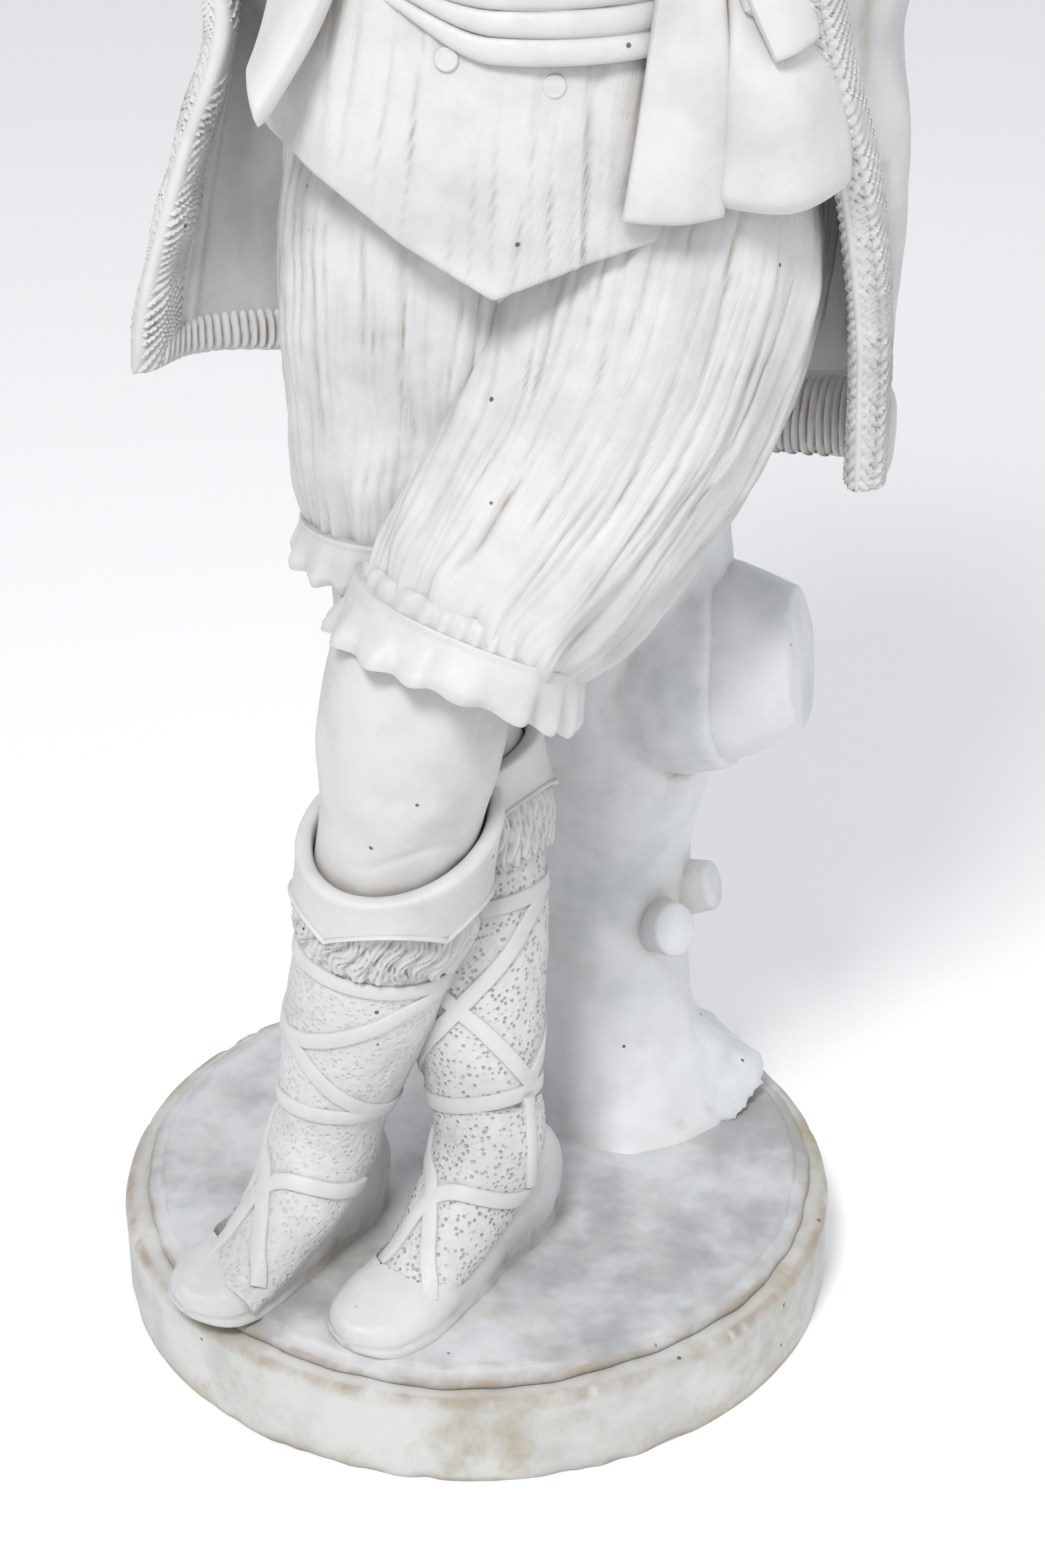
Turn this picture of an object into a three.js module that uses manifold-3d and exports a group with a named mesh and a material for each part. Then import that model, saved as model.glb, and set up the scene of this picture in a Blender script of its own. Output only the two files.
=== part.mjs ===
// A marble statue of a youth resting against a tree stump, legs crossed, in striped breeches, laced
// boots and a fringed cape, on a round plinth. Units are millimetres, +Z is up, the youth faces -Y,
// and the origin is the centre of the plinth's underside. "right" and "left" are the youth's own.
import * as THREE from "three";
import { mergeVertices } from "three/addons/utils/BufferGeometryUtils.js";
import Module from "manifold-3d";

const wasm = await Module();
wasm.setup();

// Driving dimensions
const PLINTH_RADIUS = 270;
const PLINTH_HEIGHT = 71.5;
const SEAT_GAP = 0.3; // between the plinth and the disc that is carved with the figure
const PLINTH_CHAMFER = [5, 7]; // in from the side, and down from the top
const DISC_RADIUS = 256;
const GROUND = 84; // top of the carved disc, which the shoes and the stump stand on
const SHOE_BURY = 4; // how far the soles run into the disc
const BRANCH_OVAL = 0.8; // depth of a branch beside its height
const FLAP_THICKNESS = 10;
const TAIL_THICKNESS = [10, 26]; // of the sash's narrow and wide tails
const JACKET_THICKNESS = [16, 14]; // on the right and on the left
const CAPE_THICKNESS = 18;
const LINING_Y = 52; // the cape is solid behind this depth, where it wraps the figure
const STRAP = [16, 3.5]; // width and rise of a boot's strap
const HEAD_HEIGHT = 196; // chin to crown
const HEAD_AT = [38, -14, 1385]; // the chin's level on the head's own axis
const HEAD_TURN = [0.12, -0.06, -0.3]; // turns about X, Y and Z: looking down and to the right
const HAIR_DEPTH = 9;
const FINGER_RADIUS = 9;
const THUMB_RADIUS = 10;

const ROUND = 48; // sides of the plinth and the disc
const HEAD_SIDES = 24;
const FRONT_SHARE = 0.6; // how far the head's columns are drawn towards the face
const NEAR = 0.05; // step, in stations, over which directions are measured
const BELOW = [900, 900, 200]; // the block of air cut away under the disc
const SIDE_X = [1, 0, 0];
const UP = [0, 0, 1];
const TAU = 2 * Math.PI;

// ---------------------------------------------------------------- geometry helpers

const add = (a, b, k = 1) => a.map((x, i) => x + k * b[i]);
const dot = (a, b) => a.reduce((sum, x, i) => sum + x * b[i], 0);
const cross = (a, b) => [
  a[1] * b[2] - a[2] * b[1],
  a[2] * b[0] - a[0] * b[2],
  a[0] * b[1] - a[1] * b[0],
];
const unit = (a) => a.map((x) => x / Math.hypot(...a));
const clamp = (t) => Math.min(1, Math.max(0, t));
const smooth = (t) => clamp(t) ** 2 * (3 - 2 * clamp(t));
const bump = (x, width) => Math.exp(-((x / width) ** 2));

// A point at parameter t (0 to list.length - 1) of the Catmull-Rom curve through rows of numbers.
function along(list, t) {
  const last = list.length - 1;
  const i = Math.min(Math.floor(t), last - 1);
  const f = t - i;
  const [p, q, r, s] = [-1, 0, 1, 2].map((k) => list[Math.min(Math.max(i + k, 0), last)]);
  return q.map((_, k) => {
    const a = (r[k] - p[k]) / 2;
    const b = (s[k] - q[k]) / 2;
    return (
      q[k] + f * (a + f * (3 * (r[k] - q[k]) - 2 * a - b + f * (2 * (q[k] - r[k]) + a + b)))
    );
  });
}

// Closed geometry from points and triangles, turned to face outwards.
function closed(points, faces) {
  let volume = 0;
  for (const [a, b, c] of faces) volume += dot(points[a], cross(points[b], points[c]));
  const geometry = new THREE.BufferGeometry();
  geometry.setAttribute("position", new THREE.Float32BufferAttribute(points.flat(), 3));
  geometry.setIndex(faces.flatMap((f) => (volume < 0 ? [f[0], f[2], f[1]] : f)));
  return geometry;
}

// Rings of equally many points, joined in order and capped at both ends.
function skin(rings) {
  const n = rings[0].length;
  const points = rings.flat();
  const faces = [];
  for (let i = 0; i + 1 < rings.length; i++)
    for (let j = 0; j < n; j++) {
      const [a, b] = [i * n + j, i * n + ((j + 1) % n)];
      faces.push([a, b, b + n], [a, b + n, a + n]);
    }
  for (const [ring, turn] of [[0, 1], [rings.length - 1, 0]]) {
    const centre = points.length;
    points.push(rings[ring].reduce((s, p) => add(s, p, 1 / n), [0, 0, 0]));
    for (let j = 0; j < n; j++) {
      const [a, b] = [ring * n + j, ring * n + ((j + 1) % n)];
      faces.push(turn ? [centre, b, a] : [centre, a, b]);
    }
  }
  return closed(points, faces);
}

// A limb through stations [x, y, z, half width, depth in front, depth behind], listed downwards.
// relief(t, angle) adds to the radius; angle 0 is along side, and a quarter turn is the front.
function limb(stations, { side = SIDE_X, sides = 14, relief = () => 0 } = {}) {
  const rings = stations.map((at, t) => {
    const before = along(stations, Math.max(t - NEAR, 0));
    const after = along(stations, Math.min(t + NEAR, stations.length - 1));
    const run = unit(add(after.slice(0, 3), before.slice(0, 3), -1));
    const across = unit(add(side, run, -dot(side, run)));
    const front = cross(run, across);
    return Array.from({ length: sides }, (_, j) => {
      const angle = (TAU * j) / sides;
      const more = relief(t, angle);
      const [c, s] = [Math.cos(angle), Math.sin(angle)];
      const depth = (s > 0 ? at[4] : at[5]) + more;
      return add(add(at.slice(0, 3), across, (at[3] + more) * c), front, depth * s);
    });
  });
  return skin(rings);
}

// A band round a limb: profile(angle) is a closed loop of [out, up] from the ellipse a by b.
function hoop({ at, down, a, b, steps }, profile) {
  const run = unit(down);
  const across = unit(add(SIDE_X, run, -dot(SIDE_X, run)));
  const front = cross(run, across);
  const points = [];
  const count = profile(0).length;
  for (let j = 0; j < steps; j++) {
    const angle = (TAU * j) / steps;
    for (const [out, up] of profile(angle)) {
      const p = add(add(at, across, (a + out) * Math.cos(angle)), front, (b + out) * Math.sin(angle));
      points.push(add(p, run, -up));
    }
  }
  const faces = [];
  for (let j = 0; j < steps; j++)
    for (let k = 0; k < count; k++) {
      const [p, q] = [j * count, ((j + 1) % steps) * count];
      const next = (k + 1) % count;
      faces.push([p + k, p + next, q + next], [p + k, q + next, q + k]);
    }
  return closed(points, faces);
}

// A shoe: stations [share of the length, half width, height, lift] from toe to heel, with a flat
// sole and a section squarer than an ellipse.
function slipper(heel, toe, stations, sides = 12) {
  const [squareAcross, squareUp] = [0.7, 0.8];
  const ahead = unit(add(toe, heel, -1));
  const across = unit(cross(UP, ahead));
  const length = Math.hypot(...add(toe, heel, -1));
  const rings = stations.map(([share, width, height, lift]) => {
    const at = add(add(heel, ahead, share * length), UP, lift);
    return Array.from({ length: sides }, (_, j) => {
      const [c, s] = [Math.cos((TAU * j) / sides), Math.sin((TAU * j) / sides)];
      const up = s > 0 ? height * s ** squareUp : SHOE_BURY * s;
      return add(add(at, across, width * Math.sign(c) * Math.abs(c) ** squareAcross), UP, up);
    });
  });
  return skin(rings);
}

// A sheet of the given thickness through a grid of control points. Where a lining depth is given,
// the sheet is filled solid behind that plane, so what it wraps grows out of a flat lining.
function sheet(grid, { thickness, across = 1, down = 2, lining = Infinity }) {
  const [lastU, lastV] = [grid[0].length - 1, grid.length - 1];
  const [nu, nv] = [across * lastU, down * lastV];
  const at = (u, v) => along(grid.map((row) => along(row, u)), v);
  const layers = [[], []];
  for (let j = 0; j <= nv; j++)
    for (let i = 0; i <= nu; i++) {
      const [u, v] = [i / across, j / down];
      const du = add(at(Math.min(u + NEAR, lastU), v), at(Math.max(u - NEAR, 0), v), -1);
      const dv = add(at(u, Math.min(v + NEAR, lastV)), at(u, Math.max(v - NEAR, 0)), -1);
      const normal = unit(cross(du, dv));
      layers[0].push(add(at(u, v), normal, thickness / 2));
      const [x, y, z] = add(at(u, v), normal, -thickness / 2);
      layers[1].push([x, Math.min(y, lining), z]);
    }
  const points = layers.flat();
  const half = layers[0].length;
  const id = (i, j, layer) => layer * half + j * (nu + 1) + i;
  const faces = [];
  const quad = (a, b, c, d) => faces.push([a, b, c], [a, c, d]);
  for (let j = 0; j < nv; j++)
    for (let i = 0; i < nu; i++) {
      quad(id(i, j, 0), id(i + 1, j, 0), id(i + 1, j + 1, 0), id(i, j + 1, 0));
      quad(id(i, j, 1), id(i, j + 1, 1), id(i + 1, j + 1, 1), id(i + 1, j, 1));
    }
  for (let i = 0; i < nu; i++) {
    quad(id(i, 0, 1), id(i + 1, 0, 1), id(i + 1, 0, 0), id(i, 0, 0));
    quad(id(i, nv, 0), id(i + 1, nv, 0), id(i + 1, nv, 1), id(i, nv, 1));
  }
  for (let j = 0; j < nv; j++) {
    quad(id(0, j, 0), id(0, j + 1, 0), id(0, j + 1, 1), id(0, j, 1));
    quad(id(nu, j, 1), id(nu, j + 1, 1), id(nu, j + 1, 0), id(nu, j, 0));
  }
  return closed(points, faces);
}

// A closed geometry as a manifold-3d solid.
function solid(geometry) {
  const bare = new THREE.BufferGeometry();
  bare.setAttribute("position", geometry.getAttribute("position"));
  if (geometry.index) bare.setIndex(geometry.index);
  const merged = mergeVertices(bare, 1e-3);
  return new wasm.Manifold(
    new wasm.Mesh({
      numProp: 3,
      vertProperties: merged.attributes.position.array,
      triVerts: new Uint32Array(merged.index.array),
    }),
  );
}

// The union of the forms, with the slivers of space shut in between them filled, cut flat below.
function joined(geometries, floor) {
  const union = geometries.map(solid).reduce((a, b) => a.add(b));
  const below = new THREE.BoxGeometry(...BELOW).translate(0, 0, floor - BELOW[2] / 2);
  return union.subtract(solid(below)).decompose().find((body) => body.volume() > 0);
}

function geometryOf(manifold) {
  const mesh = manifold.getMesh();
  const geometry = new THREE.BufferGeometry();
  geometry.setAttribute("position", new THREE.BufferAttribute(mesh.vertProperties, 3));
  geometry.setIndex(new THREE.BufferAttribute(mesh.triVerts, 1));
  return geometry;
}

// A solid of revolution about +Z from [radius, z] points.
function turned(profile, sides) {
  const lathe = new THREE.LatheGeometry(profile.map((p) => new THREE.Vector2(...p)), sides);
  return lathe.rotateX(Math.PI / 2);
}

// ---------------------------------------------------------------- plinth and disc

const SEAT = PLINTH_HEIGHT + SEAT_GAP;
const DISC_SLOPE = 2; // how far the disc's edge leans in
const plinth = turned(
  [
    [0, 0],
    [PLINTH_RADIUS, 0],
    [PLINTH_RADIUS, PLINTH_HEIGHT - PLINTH_CHAMFER[1]],
    [PLINTH_RADIUS - PLINTH_CHAMFER[0], PLINTH_HEIGHT],
    [0, PLINTH_HEIGHT],
  ],
  ROUND,
);
const disc = turned([[0, SEAT], [DISC_RADIUS, SEAT], [DISC_RADIUS - DISC_SLOPE, GROUND], [0, GROUND]], ROUND);

// ---------------------------------------------------------------- tree stump

const trunk = limb([
  [142, 66, 730, 50, 44, 50],
  [136, 84, 640, 52, 46, 50],
  [120, 94, 560, 66, 58, 54],
  [114, 98, 480, 84, 66, 58],
  [104, 100, 400, 76, 62, 58],
  [96, 102, 310, 68, 56, 56],
  [96, 104, 210, 68, 58, 58],
  [98, 106, 140, 78, 72, 64],
  [104, 108, 100, 96, 92, 78],
  [108, 110, 76, 122, 114, 96],
]);

// A sawn branch: from the trunk to the centre of its cut face.
const branch = (from, to, radii, sides) => {
  const step = add(to, from, -1).map((x) => x / (radii.length - 1));
  const spine = radii.map((r, i) => [...add(from, step, i), r, BRANCH_OVAL * r, BRANCH_OVAL * r]);
  return limb(spine, { side: [0, 0.3, 1], sides });
};
const stump = [
  trunk,
  branch([110, 94, 462], [238, 54, 483], [70, 84, 76, 56], 14),
  branch([124, 92, 242], [150, 36, 265], [20, 18, 17], 9),
  branch([124, 108, 256], [182, 84, 276], [28, 24, 19], 6),
];

// ---------------------------------------------------------------- legs and breeches

// Long soft folds down a breeches leg, gathered into its band.
const FOLD_TWIST = 1.3; // how far the folds turn from one station to the next
const folds = (count, height) => (t, angle) =>
  height * Math.sin(count * angle + FOLD_TWIST * t) * smooth(t - 0.5);

const hips = limb(
  [
    [47, 8, 1000, 122, 90, 84],
    [48, 6, 940, 146, 104, 98],
    [52, 4, 880, 164, 112, 110],
    [56, 4, 820, 166, 108, 114],
    [58, 6, 770, 140, 92, 104],
    [60, 8, 735, 90, 66, 80],
  ],
  { sides: 16 },
);
const rightThigh = limb(
  [
    [-8, 10, 900, 104, 96, 92],
    [-24, 4, 830, 100, 98, 96],
    [-30, -2, 760, 92, 94, 92],
    [-36, -10, 680, 82, 84, 84],
    [-40, -18, 636, 72, 76, 74],
    [-41, -20, 618, 66, 70, 68],
  ],
  { sides: 18, relief: folds(6, 2.5) },
);
const leftThigh = limb(
  [
    [118, 12, 880, 112, 104, 100],
    [112, -6, 800, 120, 108, 106],
    [96, -32, 730, 112, 104, 104],
    [64, -60, 672, 102, 98, 100],
    [30, -84, 622, 92, 90, 92],
    [8, -100, 590, 82, 84, 82],
    [0, -105, 576, 74, 78, 74],
  ],
  { sides: 16, relief: folds(5, 3) },
);
const RIGHT_CALF = [
  [-38, -20, 640, 58, 60, 58],
  [-38, -24, 570, 56, 60, 58],
  [-32, -28, 510, 54, 57, 52],
  [-14, -38, 436, 56, 50, 54],
  [-1, -56, 350, 54, 50, 58],
  [2, -74, 280, 50, 46, 52],
  [7, -94, 215, 41, 40, 42],
  [11, -104, 170, 38, 40, 38],
  [12, -106, 110, 35, 38, 36],
];
const LEFT_CALF = [
  [-16, -106, 610, 60, 62, 60],
  [-30, -110, 560, 62, 62, 62],
  [-40, -112, 505, 63, 63, 58],
  [-46, -106, 450, 56, 56, 54],
  [-56, -100, 385, 55, 52, 58],
  [-72, -96, 310, 56, 50, 58],
  [-90, -94, 245, 48, 45, 50],
  [-102, -94, 190, 39, 41, 42],
  [-106, -94, 110, 34, 40, 38],
];

const calves = [limb(RIGHT_CALF), limb(LEFT_CALF)];

// Profiles of the bands, as loops of [out, up] round the limb that they circle.
const BURY = 10; // how far a band's inner face runs into the limb
const FRILL_WAVE = 5;
const FRILL_THICKNESS = 7;
const BAND_SLOPE = 3;

// The frill below a knee band: it flares as it falls, in waves.
const frill = (waves, flare, drop) => (angle) => {
  const hem = flare + FRILL_WAVE * Math.cos(waves * angle);
  return [[-BURY, 4], [5, 6], [hem, -drop], [hem - FRILL_THICKNESS, -drop - 2]];
};
const band = (out, top, bottom) => () => [
  [-BURY, top],
  [out, top - BAND_SLOPE],
  [out, bottom + BAND_SLOPE],
  [-BURY, bottom],
];

const rightKneeRing = { at: [-41, -20, 621], a: 66, b: 69, down: [-0.02, -0.1, -1] };
const leftKneeRing = { at: [0, -104, 580], a: 75, b: 78, down: [-0.42, -0.3, -1] };
const knees = [
  hoop({ ...rightKneeRing, steps: 18 }, frill(9, 9, 30)),
  hoop({ ...leftKneeRing, steps: 16 }, band(5, 22, -8)),
  hoop({ ...leftKneeRing, steps: 20 }, frill(11, 10, 36)),
];

// ---------------------------------------------------------------- boots and shoes

// A folded-down cuff, whose hem rises and falls in shallow scallops.
const SCALLOPS = 5;
const SCALLOP = 8; // height of one
const cuff = (height) => (angle) => {
  const hem = SCALLOP * Math.abs(Math.sin((SCALLOPS / 2) * angle)) - height;
  return [[-BURY, 0], [4, 1], [6, hem], [-8, hem]];
};
// The fleece that hangs out under the cuff.
const TUFT = 3;
const fleece = (drop) => (angle) => {
  const tuft = TUFT * Math.cos(7 * angle);
  return [[-8, 8], [3, 8], [7 + tuft, -0.6 * drop], [-4, -drop - tuft]];
};
const strap = () => [[-6, STRAP[0] / 2], [STRAP[1], 0], [-6, -STRAP[0] / 2]];

// The cuff, the fleece and the crossed straps of one boot; each is [station of the calf, lean in X,
// lean in Y], and the cuff and the fleece have a height too.
function boot(calf, { cuffAt, fleeceAt, strapsAt }) {
  const ring = ([station, leanX, leanY], steps, more = 0) => {
    const [x, y, z, a, b] = along(calf, station);
    return { at: [x, y, z], a: a + more, b: b + more, down: [leanX, leanY, -1], steps };
  };
  return [
    hoop(ring(cuffAt, 15, 8), cuff(cuffAt[3])),
    hoop(ring(fleeceAt, 14, 1), fleece(fleeceAt[3])),
    ...strapsAt.map((at) => hoop(ring(at, 11), strap)),
  ];
}
const rightBoot = boot(RIGHT_CALF, {
  cuffAt: [2.38, 0.24, -0.05, 44],
  fleeceAt: [2.95, 0.24, -0.14, 48],
  strapsAt: [[4.8, 0.7, -0.2], [4.8, -0.6, -0.2]],
});
const leftBoot = boot(LEFT_CALF, {
  cuffAt: [3.5, -0.05, 0.1, 36],
  fleeceAt: [4.08, -0.16, 0.02, 32],
  strapsAt: [[5.4, 0.5, -0.15], [5.5, -0.5, -0.15]],
});

// From toe to heel: share of the length, half width, height and lift.
const SHOE = [
  [1.0, 6, 6, 12],
  [0.97, 22, 16, 6],
  [0.9, 34, 24, 1],
  [0.78, 42, 31, 0],
  [0.62, 39, 37, 0],
  [0.4, 31, 40, 0],
  [0.2, 29, 45, 0],
  [0.05, 25, 52, 0],
  [-0.03, 12, 50, 0],
];
const rightHeel = [44, -62, GROUND];
const rightToe = [-85, -228, GROUND];
const leftHeel = [-76, -58, GROUND];
const leftToe = [-206, -188, GROUND];

// From the ankle down: how far forward, how high over the ground, and the section.
const INSTEP = [
  [0, 96, 36, 38, 36],
  [22, 62, 36, 38, 36],
  [52, 36, 35, 30, 30],
  [86, 18, 32, 20, 20],
  [112, 10, 26, 14, 14],
];
function instep([x, y], heel, toe) {
  const ahead = unit(add(toe, heel, -1));
  const spine = INSTEP.map(([forward, up, ...section]) => [
    ...add([x, y, GROUND + up], ahead, forward),
    ...section,
  ]);
  return limb(spine, { side: unit(cross(UP, ahead)), sides: 11 });
}
const feet = [
  slipper(rightHeel, rightToe, SHOE),
  slipper(leftHeel, leftToe, SHOE),
  instep([12, -106], rightHeel, rightToe),
  instep([-106, -94], leftHeel, leftToe),
  ...rightBoot,
  ...leftBoot,
];

// ---------------------------------------------------------------- waist: flap, sash and jacket

const flap = sheet(
  [
    [[-104, -56, 998], [-62, -92, 998], [-10, -108, 998], [40, -110, 998], [90, -104, 998], [124, -84, 998]],
    [[-116, -58, 940], [-74, -96, 930], [-14, -116, 925], [40, -120, 920], [96, -112, 925], [132, -92, 930]],
    [[-122, -62, 905], [-86, -98, 880], [-40, -112, 846], [17, -124, 813], [76, -116, 834], [124, -100, 845]],
  ],
  { thickness: FLAP_THICKNESS },
);
const sashFolds = () => [[-BURY, 34], [3, 28], [7, -6], [-BURY, -14]];
const sash = hoop({ at: [46, -6, 984], a: 132, b: 122, down: [0, 0.14, -1], steps: 13 }, sashFolds);
const narrowTail = sheet(
  [
    [[112, -122, 1000], [134, -118, 1000], [152, -112, 1000]],
    [[104, -122, 930], [132, -122, 930], [158, -114, 930]],
    [[94, -124, 862], [128, -124, 860], [156, -114, 862]],
  ],
  { thickness: TAIL_THICKNESS[0] },
);
const wideTail = sheet(
  [
    [[150, -104, 1000], [182, -92, 1000], [206, -66, 1000]],
    [[152, -112, 930], [196, -106, 930], [226, -70, 930]],
    [[150, -112, 868], [196, -108, 862], [230, -70, 868]],
  ],
  { thickness: TAIL_THICKNESS[1] },
);
const waist = [flap, sash, narrowTail, wideTail];

// ---------------------------------------------------------------- torso, arms and jacket

const torso = limb([
  [40, 0, 1345, 44, 44, 46],
  [42, 2, 1310, 70, 50, 54],
  [44, 4, 1285, 136, 62, 66],
  [45, 4, 1240, 158, 80, 80],
  [46, 2, 1170, 146, 94, 86],
  [47, 4, 1090, 132, 90, 80],
  [48, 6, 1020, 122, 88, 78],
  [48, 8, 960, 128, 92, 84],
]);
const rightArm = limb(
  [
    [-88, 0, 1258, 44, 46, 46],
    [-124, -2, 1190, 42, 44, 44],
    [-142, -4, 1110, 40, 42, 42],
    [-146, -14, 1062, 42, 42, 40],
    [-128, -52, 1056, 38, 40, 38],
    [-92, -92, 1088, 35, 35, 35],
    [-52, -118, 1126, 30, 30, 30],
    [-30, -126, 1148, 24, 22, 22],
  ],
  { side: [0.5, -1, 0.2], sides: 10 },
);
const leftArm = limb(
  [
    [174, 0, 1258, 44, 46, 46],
    [216, 0, 1180, 42, 44, 44],
    [244, 4, 1090, 42, 42, 42],
    [248, 2, 1036, 38, 40, 42],
    [226, -16, 984, 36, 38, 38],
    [196, -34, 944, 32, 32, 32],
  ],
  { side: [0.2, -1, 0], sides: 10 },
);
const jacketRight = sheet(
  [
    [[-46, -62, 1290], [-78, -56, 1285], [-112, -30, 1275]],
    [[-38, -94, 1190], [-80, -80, 1190], [-104, -30, 1190]],
    [[-50, -92, 1080], [-80, -70, 1080], [-96, -20, 1080]],
    [[-78, -112, 990], [-96, -98, 985], [-112, -60, 980]],
    [[-121, -120, 918], [-124, -110, 928], [-126, -90, 940]],
  ],
  { thickness: JACKET_THICKNESS[0] },
);
const jacketLeft = sheet(
  [
    [[124, -66, 1290], [160, -54, 1285], [190, -30, 1275]],
    [[128, -106, 1190], [172, -92, 1190], [206, -40, 1190]],
    [[138, -106, 1080], [176, -90, 1080], [206, -30, 1080]],
    [[164, -118, 985], [200, -98, 968], [222, -50, 990]],
  ],
  { thickness: JACKET_THICKNESS[1] },
);

// ---------------------------------------------------------------- cape

// Rows from the collar to the hem; in each row the points run from the edge beside the right arm,
// round the back, to the edge that falls in front of the left arm.
const cape = sheet(
  [
    [[-8, -50, 1322], [-24, 0, 1330], [42, 60, 1338], [106, 0, 1330], [92, -50, 1322]],
    [[-52, -76, 1290], [-118, 16, 1292], [42, 94, 1298], [214, 12, 1290], [128, -86, 1284]],
    [[-148, -44, 1236], [-182, 26, 1236], [44, 116, 1230], [276, 6, 1225], [164, -108, 1224]],
    [[-196, -8, 1130], [-186, 66, 1130], [48, 126, 1130], [308, 10, 1130], [184, -120, 1130]],
    [[-190, 2, 1040], [-166, 78, 1040], [60, 132, 1040], [312, 14, 1040], [190, -118, 1040]],
    [[-150, -20, 964], [-132, 66, 960], [70, 134, 960], [272, 30, 954], [200, -104, 975]],
    [[-180, -40, 870], [-138, 48, 864], [76, 142, 860], [280, 44, 864], [230, -76, 870]],
    [[-206, -44, 790], [-146, 40, 784], [80, 146, 750], [268, 50, 752], [250, -50, 760]],
    [[-216, -46, 736], [-150, 34, 724], [84, 150, 660], [264, 60, 640], [256, -34, 648]],
  ],
  { thickness: CAPE_THICKNESS, across: 3, down: 1, lining: LINING_Y },
);

// ---------------------------------------------------------------- head

const FACE = TAU / 4; // the angle that the face looks along
const off = (angle) => Math.abs(((angle - FACE + TAU / 2 + TAU) % TAU) - TAU / 2);

// Carving of the face: height, then angle aside and spread round the head, then level and spread
// upwards, as shares of the head's height.
const FEATURES = {
  socket: [-9, 0.34, 0.2, 0.505, 0.05],
  brow: [2.5, 0.36, 0.3, 0.57, 0.03],
  eye: [5.5, 0.38, 0.13, 0.492, 0.028],
  cheek: [3, 0.55, 0.22, 0.38, 0.08],
  upperLip: [6, 0, 0.2, 0.225, 0.016],
  lowerLip: [6, 0, 0.2, 0.182, 0.018],
  muzzle: [4, 0, 0.35, 0.2, 0.07],
  chin: [6, 0, 0.24, 0.075, 0.05],
  underLip: [-3, 0, 0.25, 0.14, 0.025],
};
const NOSE = {
  depth: 20,
  root: 0.58, // levels, as shares of the head's height
  base: 0.285,
  length: 0.3,
  undercut: 0.018,
  bridge: 0.1, // spread round the head
  wings: [0.11, 0.3, 0.045], // more spread, its level and how far it reaches
};

function nose(h, a) {
  const slope = NOSE.depth * smooth((NOSE.root - h) / NOSE.length);
  const under = h > NOSE.base ? 1 : bump(h - NOSE.base, NOSE.undercut);
  const [more, level, reach] = NOSE.wings;
  return slope * under * bump(a, NOSE.bridge + more * bump(h - level, reach));
}
function features(h, angle) {
  const a = off(angle);
  const carved = Object.values(FEATURES).map(
    ([height, aside, wide, level, tall]) => height * bump(a - aside, wide) * bump(h - level, tall),
  );
  return carved.reduce((sum, x) => sum + x, nose(h, a));
}

// The hair starts high over the face, drops behind the ears, and lies in slanting locks.
const TEMPLE = 1.15; // angle from the face at which the hairline drops
const hairline = (a) => (a < TEMPLE ? 0.84 - 0.1 * a : 0.5 - 0.28 * (a - TEMPLE));
const hair = (h, angle) => {
  const grown = smooth((h - hairline(off(angle))) / 0.05 + 0.5);
  return grown * (HAIR_DEPTH + 3.2 * Math.sin(9 * angle + 26 * h) + 2 * Math.sin(5 * angle - 34 * h));
};
// Head section by height: half width, depth in front, depth behind.
const SKULL = [
  [1, 6, 6, 6],
  [0.98, 30, 32, 36],
  [0.92, 52, 58, 66],
  [0.83, 66, 78, 84],
  [0.7, 70, 87, 92],
  [0.58, 70, 89, 92],
  [0.48, 69, 88, 84],
  [0.36, 64, 88, 70],
  [0.24, 56, 86, 52],
  [0.14, 46, 84, 40],
  [0.05, 32, 78, 34],
  [0.0, 20, 66, 30],
];
// Heights of the head's rings: closer together where the eyes, nose and mouth are.
const LEVELS = [
  1, 0.97, 0.92, 0.86, 0.79, 0.71, 0.64, 0.595, 0.56, 0.525, 0.5, 0.48, 0.45, 0.4, 0.34, 0.3, 0.275,
  0.25, 0.222, 0.2, 0.178, 0.14, 0.08, 0.02,
];
const NARROW = 30; // half width under which the carving fades out
const head = skin(
  LEVELS.map((h) => {
    const below = SKULL.findIndex(([level]) => level <= h);
    const above = Math.max(below - 1, 0);
    const share = below ? (SKULL[above][0] - h) / (SKULL[above][0] - SKULL[below][0]) : 0;
    const [, w, f, b] = along(SKULL, above + share);
    return Array.from({ length: HEAD_SIDES }, (_, j) => {
      const even = (TAU * j) / HEAD_SIDES;
      const angle = even + FRONT_SHARE * Math.cos(even);
      const more = (features(h, angle) + hair(h, angle)) * Math.min(1, w / NARROW);
      const [c, s] = [Math.cos(angle), Math.sin(angle)];
      const crown = HAIR_DEPTH * smooth((h - 0.6) / 0.4);
      return [(w + more) * c, -((s > 0 ? f : b) + more) * s, h * HEAD_HEIGHT + crown];
    });
  }),
);
const EAR = { size: [7, 13, 21], lean: -0.2, at: [71, 6, 0.46 * HEAD_HEIGHT] };
const ear = (side) => {
  const shape = new THREE.SphereGeometry(1, 6, 4).scale(...EAR.size).rotateX(EAR.lean);
  return shape.translate(side * EAR.at[0], EAR.at[1], EAR.at[2]);
};
const headParts = [head, ear(1), ear(-1)].map((part) =>
  part.rotateX(HEAD_TURN[0]).rotateZ(HEAD_TURN[2]).rotateY(HEAD_TURN[1]).translate(...HEAD_AT),
);
const neck = limb(
  [
    [38, -4, 1425, 48, 42, 50],
    [38, 2, 1385, 43, 42, 46],
    [40, 6, 1345, 46, 44, 48],
    [42, 6, 1300, 62, 52, 54],
  ],
  { sides: 12 },
);

// ---------------------------------------------------------------- right hand

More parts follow.
